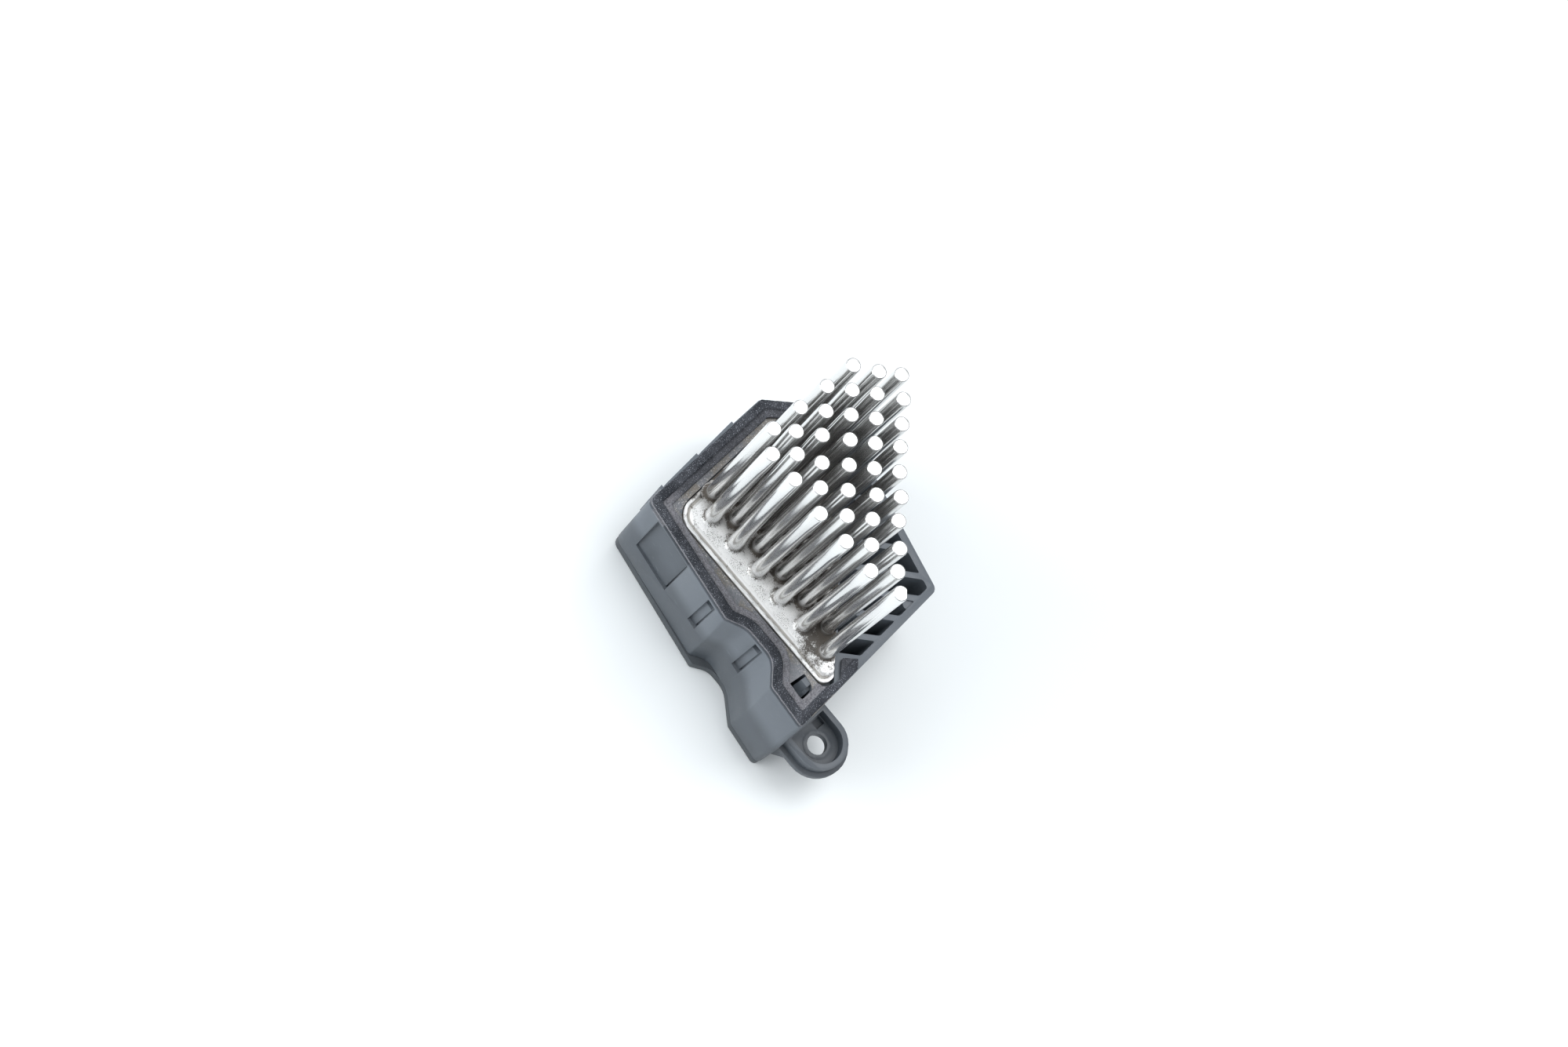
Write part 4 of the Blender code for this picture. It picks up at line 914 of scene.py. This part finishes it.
@dataclass
class HeatSink:
    """Die-cast heat sink: stepped plate, rough ridge, leaning pins, stub and the clip's boss."""

    deck_z: float
    tip_z: float
    under_z: float
    pin_pitch: float = 7.8 * MM
    row_pitch: float = 4.0 * MM
    rows: tuple[tuple[int, int], ...] = (
        (0, 5), (0, 5), (0, 4), (0, 4), (0, 3), (0, 3), (0, 2), (0, 2), (0, 1), (1, 1),
    )
    leans: dict[tuple[int, int], tuple[float, float]] = field(default_factory=lambda: {
        (0, 1): (-0.9, 0.2), (0, 2): (0.0, -0.4), (0, 5): (-0.3, 1.9), (1, 1): (-0.7, 0.4),
        (1, 2): (-0.1, -0.5), (1, 5): (-0.2, 0.6), (2, 0): (-0.6, -0.4), (2, 1): (0.0, -0.5),
        (2, 4): (0.4, 0.4), (3, 1): (-0.5, -0.3), (3, 3): (0.6, 0.4), (3, 4): (-0.2, 0.4),
        (4, 3): (0.3, 0.4), (7, 2): (0.4, -0.2), (8, 0): (0.5, -0.2), (8, 1): (0.5, 0.0),
        (9, 1): (0.1, -0.5),
    })
    turn_step: float = 0.7
    corners: tuple[Corner, ...] = (
        mm(-5.60, -5.90, 5.0),
        mm(44.70, -5.50, 2.4),
        mm(44.35, -2.20, 0.0),
        mm(5.60, 37.55, 0.0),
        mm(2.07, 38.39, 0.8),
        mm(-8.00, 26.85, 1.6),
    )
    plateau_rise: float = 0.9 * MM
    flange_thickness: float = 2.0 * MM
    ridge_height: float = 0.4 * MM
    ridge_jitter: float = 0.11 * MM
    slope_distance: float = 2.3 * MM
    slope_spare: float = 3.0 * MM
    stub: Corner = mm(41.8, -2.2, 1.75)
    stub_height: float = 1.5 * MM
    stub_round: float = 0.45 * MM
    stub_jitter: float = 0.06 * MM
    boss: Corner = mm(13.0, 3.5, 2.5)
    boss_hole: Corner = mm(13.0, 3.5, 1.55)
    boss_hole_depth: float = 4.3 * MM
    drill_reach: float = 1.0 * MM
    block_height: float = 5.3 * MM
    side_cuts: tuple[int, ...] = (44, 2, 44, 3, 15, 30)
    ridge_rings: tuple[int, int] = (4, 7)
    block_margin: float = 1.6 * MM
    ridge_steps: tuple[tuple[float, ...], ...] = (
        mm(0.0, -0.16), mm(0.14, -0.02), mm(0.42, 0.0), mm(0.72, -0.06)
    )
    hollow_steps: tuple[tuple[float, ...], ...] = (
        mm(0.88, 0.12), mm(1.00, 0.0), mm(1.30, 0.04), mm(1.58, 0.22), mm(1.82, 0.52)
    )
    plateau_steps: tuple[tuple[float, ...], ...] = (mm(2.02, -0.06), mm(2.22, 0.0))
    name: str = "heat_sink_casting"

    @property
    def plateau_z(self) -> float:
        """Give the height of the pin field."""
        return self.deck_z + self.plateau_rise

    @property
    def slope_out(self) -> Vector:
        """Give the direction out of the sloping side."""
        angle = math.atan2(self.pin_pitch, 2 * self.row_pitch)
        return Vector((math.cos(angle), math.sin(angle), 0.0))

    def slope_reach(self, spare: float = 0.0) -> float:
        """Give how far out the sloping side lies, with some spare to be trimmed off."""
        return self.slope_out.x * self.rows[0][1] * self.pin_pitch + self.slope_distance + spare

    def outline(self, margin: float) -> Outline:
        """Give the plate's outline set in by a margin, but not on the sloping side.

        Args:
            margin: How far to set the other sides in.

        Returns:
            The outline with spare on the sloping side.
        """
        moved = list(Outline(self.corners).inset(margin).corners)
        reach = self.slope_reach(self.slope_spare)
        for i, neighbour in ((2, 1), (3, 4)):
            here = Vector((*moved[i][:2], 0.0))
            along = (here - Vector((*moved[neighbour][:2], 0.0))).normalized()
            here += along * ((reach - here.dot(self.slope_out)) / along.dot(self.slope_out))
            moved[i] = (here.x, here.y, moved[i][2])
        return Outline(tuple(moved))

    def profile(self) -> list[tuple[float, float]]:
        """Draw the plate's profile, from the underside up to the pin field.

        Returns:
            The margin and height of each ring.
        """
        deck, low = self.deck_z, self.deck_z - self.flange_thickness
        block = [(self.block_margin, deck - self.block_height), (self.block_margin, low), (0.0, low)]
        levels = (
            (self.ridge_steps, deck + self.ridge_height),
            (self.hollow_steps, deck),
            (self.plateau_steps, self.plateau_z),
        )
        return block + [(margin, level + rise) for steps, level in levels for margin, rise in steps]

    def _plate(self) -> Piece:
        """Bridge the stack of rings into the closed plate and roughen its ridge.

        Returns:
            The plate with spare on the sloping side.
        """
        rings = [
            self.outline(margin).ring("ring_%d" % i, z, self.side_cuts)
            for i, (margin, z) in enumerate(self.profile())
        ]
        count = len(rings[0].data.vertices)
        plate = Bench.take(*rings)
        bpy.ops.object.join()
        plate.name = self.name
        Bench.edit(plate, Element.EDGE)
        for i in range(len(rings) - 1):
            pair = (i, i + 1)
            Bench.pick(plate, Element.EDGE, lambda edge: self._ring_of(edge, count) in pair)
            bpy.ops.mesh.bridge_edge_loops()
        for i in (0, len(rings) - 1):
            Bench.pick(plate, Element.EDGE, lambda edge: self._ring_of(edge, count) == i)
            bpy.ops.mesh.edge_face_add()
        first, last = self.ridge_rings
        Bench.pick(plate, Element.VERTEX, lambda vert: first <= vert.index // count <= last)
        bpy.ops.transform.vertex_random(offset=self.ridge_jitter, uniform=1.0, seed=7)
        bpy.ops.mesh.select_all(action="SELECT")
        bpy.ops.mesh.normals_make_consistent(inside=False)
        Bench.clear()
        return plate

    @staticmethod
    def _ring_of(edge: bmesh.types.BMEdge, count: int) -> int | None:
        """Give the number of the ring that an edge runs along, or None between two rings."""
        first, second = (vert.index // count for vert in edge.verts)
        return first if first == second else None

    def _pins(self) -> Piece:
        """Copy the pin to every place and lean the ones that were knocked.

        Returns:
            All the pins in one mesh.
        """
        height = self.tip_z - self.plateau_z
        model = Pin(self.plateau_z, height).build()
        foot = Matrix.Translation((0.0, 0.0, self.plateau_z))
        pins = []
        for row, (first, last) in enumerate(self.rows):
            for k in range(first, last + 1):
                x = k * self.pin_pitch - (self.pin_pitch / 2 if row % 2 else 0.0)
                y = row * self.row_pitch
                lean_x, lean_y = (value * MM / height for value in self.leans.get((row, k), (0.0, 0.0)))
                shear = Matrix.Identity(4)
                shear[0][2], shear[1][2] = lean_x, lean_y
                turn = Matrix.Rotation(self.turn_step * (row * 6 + k), 4, "Z")
                pin = Bench.twin(model, "pin_%d_%d" % (row, k))
                pin.data.transform(Matrix.Translation((x, y, 0.0)) @ foot @ shear @ foot.inverted() @ turn)
                pins.append(pin)
        bpy.data.objects.remove(model, do_unlink=True)
        Bench.take(*pins)
        bpy.ops.object.join()
        return pins[0]

    def build(self, finish: Material) -> Piece:
        """Model the whole casting.

        Args:
            finish: The metal's material.

        Returns:
            The casting, which stands for the heat sink's node.
        """
        casting = self._plate()
        Bench.merge(casting, self._pins())
        deck, under, thickness = self.deck_z, self.under_z, self.flange_thickness
        stub = Bench.drum("stub", self.stub, deck - thickness / 2, deck + self.stub_height, self.stub_round)
        Bench.edit(stub, Element.VERTEX)
        bpy.ops.transform.vertex_random(offset=self.stub_jitter, uniform=1.0, seed=3)
        Bench.merge(casting, stub)
        Bench.merge(casting, Bench.drum("boss", self.boss, under, deck - 2 * thickness))
        low, high = under - self.drill_reach, under + self.boss_hole_depth
        hole = Bench.drum("boss_hole", self.boss_hole, low, high)
        Bench.merge(casting, hole, "DIFFERENCE")
        Bench.trim(casting, [(self.slope_out * self.slope_reach(), self.slope_out)])
        Bench.coat(casting, finish, 40.0)
        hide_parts("heat_sink")
        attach(casting, BODY)
        return casting


@dataclass
class FoamSeal:
    """Foam strip on the rim, with soft edges and a crumbly skin."""

    open_side: Planes
    top: float = 60.0 * MM
    voxel: float = 0.22 * MM
    softness: int = 6
    lumps: float = 0.10 * MM
    lump_size: float = 1.3 * MM
    lump_middle: float = 0.62
    name: str = "foam_seal_strip"

    def build(self, node: Piece, finish: Material) -> Piece:
        """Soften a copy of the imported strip.

        Args:
            node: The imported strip.
            finish: The foam's material.

        Returns:
            The strip, which stands for the node.
        """
        strip = Bench.sealed(node, self.name)
        Bench.merge(strip, Bench.block("open_side", self.open_side, 0.0, self.top), "DIFFERENCE")
        Bench.apply(strip, "REMESH", mode="VOXEL", voxel_size=self.voxel)
        Bench.apply(strip, "SMOOTH", factor=0.5, iterations=self.softness)
        clouds = bpy.data.textures.new("foam_lumps", "CLOUDS")
        clouds.noise_scale = self.lump_size
        lumps = {"strength": self.lumps, "mid_level": self.lump_middle}
        Bench.apply(strip, "DISPLACE", texture=clouds, texture_coords="LOCAL", **lumps)
        bpy.data.textures.remove(clouds)
        Bench.coat(strip, finish, 60.0)
        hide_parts("foam_seal")
        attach(strip, BODY)
        return strip


@dataclass
class OpenCells:
    """The open ribbed cells between the heat sink's sloping side and the housing's rim."""

    deck_z: float
    slope_out: Vector
    slope_reach: float
    wall: float = 1.5 * MM
    wall_drop: float = 2.3 * MM
    wall_end: float = 2.0 * MM
    depth: float = 14.0 * MM
    rim_width: float = 1.8 * MM
    corner: float = 0.5 * MM
    clear_above: float = 1.0 * MM
    spare: float = 0.3 * MM
    lap: float = 0.05 * MM
    rim: tuple[tuple[float, ...], ...] = (mm(48.05, -16.25), mm(44.85, 31.60), mm(-1.35, 42.50))
    runs: tuple[tuple[float, ...], ...] = (
        mm(0.80, 5.35), mm(6.75, 10.70), mm(12.10, 16.05), mm(17.45, 21.40), mm(22.80, 26.60)
    )
    post: Corner = mm(43.10, 24.20, 1.5)
    post_drop: float = 0.5 * MM
    post_foot: float = 0.3 * MM
    foam_gap: tuple[float, ...] = mm(-15.0, 27.8)

    def across(self, out: float) -> tuple[Vector, Vector]:
        """Give the plane at a distance out from the heat sink's edge, facing outwards."""
        return self.slope_out * (self.slope_reach + out), self.slope_out

    def stretch(self, start: float, end: float, near: float) -> Planes:
        """Bound a stretch along the sloping side.

        Args:
            start: The stretch's first end.
            end: Its other end.
            near: Its distance out from the heat sink's edge.

        Returns:
            A point and an outward direction of each plane.
        """
        along = Vector((self.slope_out.y, -self.slope_out.x, 0.0))
        return [(self.across(near)[0], -self.slope_out), (along * start, -along), (along * end, along)]

    def beside_foam(self) -> Planes:
        """Bound the side where the foam strip is left open."""
        return self.stretch(*self.foam_gap, 0.0)

    def _rim_sides(self) -> Planes:
        """Give the planes along the inside of the rim.

        Returns:
            A point and an outward direction of each plane.
        """
        sides = []
        for first, second in zip(self.rim, self.rim[1:]):
            here, ahead = Vector((*first, 0.0)), Vector((*second, 0.0)) - Vector((*first, 0.0))
            outward = Vector((ahead.y, -ahead.x, 0.0)).normalized()
            sides.append((here - outward * self.rim_width, outward))
        return sides

    def cut(self, shell: Piece) -> None:
        """Cut the cells, lower the wall beside them, close the rim's end and stand the post.

        Args:
            shell: The housing.
        """
        deck, rim = self.deck_z, self._rim_sides()
        for start, end in self.runs:
            planes = self.stretch(start, end, self.wall) + rim
            cell = Bench.block("cell", planes, deck - self.depth, deck + self.clear_above)
            Bench.edit(cell, Element.EDGE)
            half = self.depth / 2
            Bench.pick(cell, Element.EDGE, lambda e: abs(e.verts[0].co.z - e.verts[1].co.z) > half)
            bpy.ops.mesh.bevel(offset=self.corner, segments=3, affect="EDGES")
            Bench.clear()
            Bench.merge(shell, cell, "DIFFERENCE")
        low, far = deck - self.wall_drop, self.wall + self.spare
        planes = self.stretch(self.runs[0][0] - self.wall_end, self.runs[-1][1], 0.0) + [self.across(far)]
        Bench.merge(shell, Bench.block("wall_top", planes, low, deck + self.clear_above), "DIFFERENCE")
        point, outward = rim[-1]
        planes = [self.stretch(0.0, 0.0, self.spare)[0], self.across(far + self.lap)]
        planes += [(point + outward * self.rim_width, outward), (point, -outward)]
        Bench.merge(shell, Bench.block("rim_end", planes, low - self.spare, deck))
        post_low = deck - self.depth - self.post_foot
        Bench.merge(shell, Bench.drum("post", self.post, post_low, deck - self.post_drop))


@dataclass
class LipGroove:
    """The undercut below the rim, along the top of the long hollow in the side wall."""

    run: tuple[float, ...] = mm(-6.4, 4.7)
    heights: tuple[float, ...] = mm(24.3, 26.2)
    depth: float = 1.75 * MM
    rim: tuple[tuple[float, ...], ...] = (mm(-11.55, -9.10), mm(19.25, -13.35))

    def cut(self, shell: Piece) -> None:
        """Cut the groove into the housing.

        Args:
            shell: The housing.
        """
        here, there = (Vector((*corner, 0.0)) for corner in self.rim)
        ahead = there - here
        inward = Vector((-ahead.y, ahead.x, 0.0)).normalized()
        start, end = (Vector((x, 0.0, 0.0)) for x in self.run)
        right = Vector((1.0, 0.0, 0.0))
        planes = [(start, -right), (end, right), (here + inward * self.depth, inward)]
        Bench.merge(shell, Bench.block("lip_groove", planes, *self.heights), "DIFFERENCE")


@dataclass
class MouldedShell:
    """A moulded plastic piece with its edges eased."""

    node: str
    name: str
    slot: Slot
    edge: float = 0.14 * MM
    segments: int = 2
    sharp: float = 32.0
    cutters: tuple[OpenCells | LipGroove, ...] = ()

    def build(self, source: Piece, finish: Material) -> Piece:
        """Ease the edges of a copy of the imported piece.

        Args:
            source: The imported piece.
            finish: The plastic's material.

        Returns:
            The piece, which stands for the node.
        """
        shell = Bench.sealed(source, self.name)
        for cutter in self.cutters:
            cutter.cut(shell)
        Bench.apply(
            shell, "BEVEL", width=self.edge, segments=self.segments, limit_method="ANGLE",
            angle_limit=math.radians(self.sharp), use_clamp_overlap=True, miter_outer="MITER_ARC",
        )
        Bench.coat(shell, finish, 30.0)
        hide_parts(self.node)
        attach(shell, BODY)
        return shell


@dataclass
class Dressing:
    """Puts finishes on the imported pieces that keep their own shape."""

    finishes: dict[Slot, Material]
    by_slot: dict[Slot, tuple[str, ...]] = field(default_factory=lambda: {
        Slot.BOARD: ("circuit_board",),
        Slot.EPOXY: ("power_transistor_1", "power_transistor_2", "control_chip", "surge_diode"),
        Slot.SILICONE: ("insulator_pad_1", "insulator_pad_2"),
        Slot.STEEL: ("transistor_clip", "clip_screw", "cover_screw_1", "cover_screw_2", "cover_screw_3"),
        Slot.CAN: ("capacitor_1", "capacitor_2"),
        Slot.TERMINAL: (
            "shunt_resistor", "supply_blade", "ground_blade", "signal_blade_1", "signal_blade_2",
            "signal_blade_3", "motor_plus_blade", "motor_minus_blade",
        ),
    })

    def dress(self, nodes: dict[str, Piece]) -> None:
        """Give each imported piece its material.

        Args:
            nodes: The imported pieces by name.
        """
        for slot, names in self.by_slot.items():
            for name in names:
                for material_slot in nodes[name].material_slots:
                    material_slot.material = self.finishes[slot]
                LOG.info("%s: %s", name, slot.value)


@dataclass
class Studio:
    """White floor, overhead softbox, low key softbox at the long side's left, and a soft surround."""

    floor_size: float = 6.0
    floor_z: float = -0.0003
    floor_colour: Colour = (0.925, 0.955, 0.965)
    backdrop: Colour = (0.93, 0.965, 0.98)
    fade_out: tuple[float, float] = (220.0, 520.0)
    lamps: tuple[tuple[str, Spot, float, float], ...] = (
        ("overhead", (0.06, 0.29, 0.75), 0.55, 3.6),
        ("key", (-0.44, -0.46, 0.30), 0.50, 2.8),
    )
    bright_side: Spot = (-0.62, -0.40, 0.68)
    surround: tuple[Colour, Colour] = ((0.26, 0.27, 0.28), (0.80, 0.84, 0.87))
    behind: Colour = (1.0, 1.0, 1.0)
    aim: Spot = (0.02, 0.01, 0.03)

    def _floor(self) -> None:
        """Lay the floor, which fades into an even backdrop far from the part."""
        Bench.clear()
        bpy.ops.mesh.primitive_plane_add(size=self.floor_size, location=(0.0, 0.0, self.floor_z))
        floor = Bench.made("studio_floor")
        r = Recipe("floor_paper")
        tone = r.spread(r.noise(90.0, 2.0), 0.3, 0.7)
        colour = r.blend(tone, self.floor_colour, tuple(value * 1.01 for value in self.floor_colour))
        paper = r.finish(Base_Color=colour, Roughness=0.9)
        far = r.spread(r.vector("LENGTH", r.place), *self.fade_out)
        backdrop = r.add("ShaderNodeEmission")
        r.feed(backdrop.inputs["Color"], self.backdrop)
        mix = r.add("ShaderNodeMixShader")
        rays = r.add("ShaderNodeLightPath")
        r.feed(mix.inputs[0], r.times(far, rays.outputs["Is Camera Ray"]))
        output = paper.node_tree.nodes["Material Output"]
        r.feed(mix.inputs[1], output.inputs["Surface"].links[0].from_socket)
        r.feed(mix.inputs[2], backdrop.outputs["Emission"])
        r.feed(output.inputs["Surface"], mix.outputs["Shader"])
        floor.data.materials.append(paper)

    def _lamp(self, name: str, spot: Spot, size: float, power: float) -> None:
        """Hang a square softbox that looks at the part.

        Args:
            name: The lamp's name.
            spot: Where it hangs.
            size: The length of its side.
            power: Its power in watts.
        """
        Bench.clear()
        bpy.ops.object.light_add(type="AREA", location=spot)
        lamp = bpy.context.object
        lamp.name = name
        lamp.data.size = size
        lamp.data.energy = power
        lamp.rotation_euler = (Vector(self.aim) - Vector(spot)).to_track_quat("-Z", "Y").to_euler()

    def _surround(self) -> None:
        """Light the scene from a surround that fades from a bright side to a dim one, with white behind."""
        world = bpy.data.worlds.new("studio")
        w = Wiring(world)
        direction = w.add("ShaderNodeTexCoord").outputs["Generated"]
        facing = w.vector("DOT_PRODUCT", direction, Vector(self.bright_side).normalized())
        tone = w.blend(w.spread(facing, -0.3, 1.0), *self.surround)
        seen = w.add("ShaderNodeLightPath").outputs["Is Camera Ray"]
        w.feed(w.tree.nodes["Background"].inputs["Color"], w.blend(seen, tone, self.behind))
        bpy.context.scene.world = world

    def build(self) -> None:
        """Set up the floor, the lamps and the surround."""
        self._floor()
        for lamp in self.lamps:
            self._lamp(*lamp)
        self._surround()
        bpy.context.scene.view_settings.view_transform = "Standard"


@dataclass
class PhotoCamera:
    """Camera at the photograph's viewing angle."""

    place: Spot = (0.02402209, -0.21721281, 0.49883729)
    right: Spot = (0.64472981, 0.69368394, 0.32113248)
    up: Spot = (-0.76402515, 0.57144317, 0.29953007)
    back: Spot = (0.02427024, -0.43846926, 0.89841842)
    lens: float = 54.0

    def build(self) -> Piece:
        """Place the camera and make it the scene's.

        Returns:
            The camera.
        """
        Bench.clear()
        bpy.ops.object.camera_add(location=self.place)
        camera = bpy.context.object
        camera.name = "photo_camera"
        camera.rotation_euler = Matrix((self.right, self.up, self.back)).transposed().to_euler()
        camera.data.lens = self.lens
        camera.data.clip_start = 0.01
        bpy.context.scene.camera = camera
        return camera


def make_finishes(deck_z: float, foam_top: float) -> dict[Slot, Material]:
    """Mix every material of the part.

    Args:
        deck_z: The height of the housing's deck in millimetres.
        foam_top: The height of the foam's top in millimetres.

    Returns:
        The materials by slot.
    """
    recipes = {
        Slot.ALUMINIUM: CastAluminium(plate_z=deck_z + 0.9),
        Slot.HOUSING: MouldedPlastic(
            Slot.HOUSING, (0.050, 0.059, 0.070), (0.180, 0.204, 0.234), 0.46,
            deck_z=deck_z, painted_light_heights=(13.5, 19.0),
        ),
        Slot.COVER: MouldedPlastic(Slot.COVER, (0.050, 0.058, 0.066), (0.085, 0.096, 0.106), 0.52),
        Slot.FOAM: FoamRubber(lip_z=foam_top - 0.6, top_z=foam_top),
        Slot.BOARD: BoardLaminate(),
        Slot.EPOXY: MouldedCompound(Slot.EPOXY, (0.014, 0.014, 0.016), (0.030, 0.030, 0.033), 0.50),
        Slot.SILICONE: MouldedCompound(Slot.SILICONE, (0.38, 0.40, 0.43), (0.47, 0.49, 0.52), 0.72),
        Slot.STEEL: SheetMetal(Slot.STEEL, (0.60, 0.60, 0.59), (0.42, 0.41, 0.39), 0.30, (1.0, 14.0, 1.0)),
        Slot.TERMINAL: SheetMetal(Slot.TERMINAL, (0.76, 0.74, 0.70), (0.55, 0.52, 0.46), 0.24),
        Slot.CAN: SheetMetal(Slot.CAN, (0.66, 0.67, 0.69), (0.52, 0.53, 0.55), 0.28),
    }
    return {slot: recipe.material() for slot, recipe in recipes.items()}


def main() -> None:
    """Build every piece in order."""
    logging.basicConfig(level=logging.INFO, format="%(message)s")
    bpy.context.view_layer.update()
    nodes = frame["nodes"]
    sink_low, sink_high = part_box("heat_sink")
    foam_low, foam_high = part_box("foam_seal")
    deck_z = foam_low.z - FIT_GAP
    PhotoCamera().build()
    finishes = make_finishes(deck_z / MM, foam_high.z / MM)
    sink = HeatSink(deck_z=deck_z, tip_z=sink_high.z, under_z=sink_low.z)
    cells = OpenCells(deck_z, sink.slope_out, sink.slope_reach())
    shells = (
        MouldedShell("housing", "housing_moulding", Slot.HOUSING, cutters=(cells, LipGroove())),
        MouldedShell("back_cover", "back_cover_moulding", Slot.COVER),
    )
    pieces = [sink.build(finishes[Slot.ALUMINIUM])]
    pieces += [shell.build(nodes[shell.node], finishes[shell.slot]) for shell in shells]
    pieces.append(FoamSeal(cells.beside_foam()).build(nodes["foam_seal"], finishes[Slot.FOAM]))
    for piece in pieces:
        LOG.info("%s: %d faces", piece.name, len(piece.data.polygons))
    Dressing(finishes).dress(nodes)
    Studio().build()


if __name__ == "__main__":
    main()
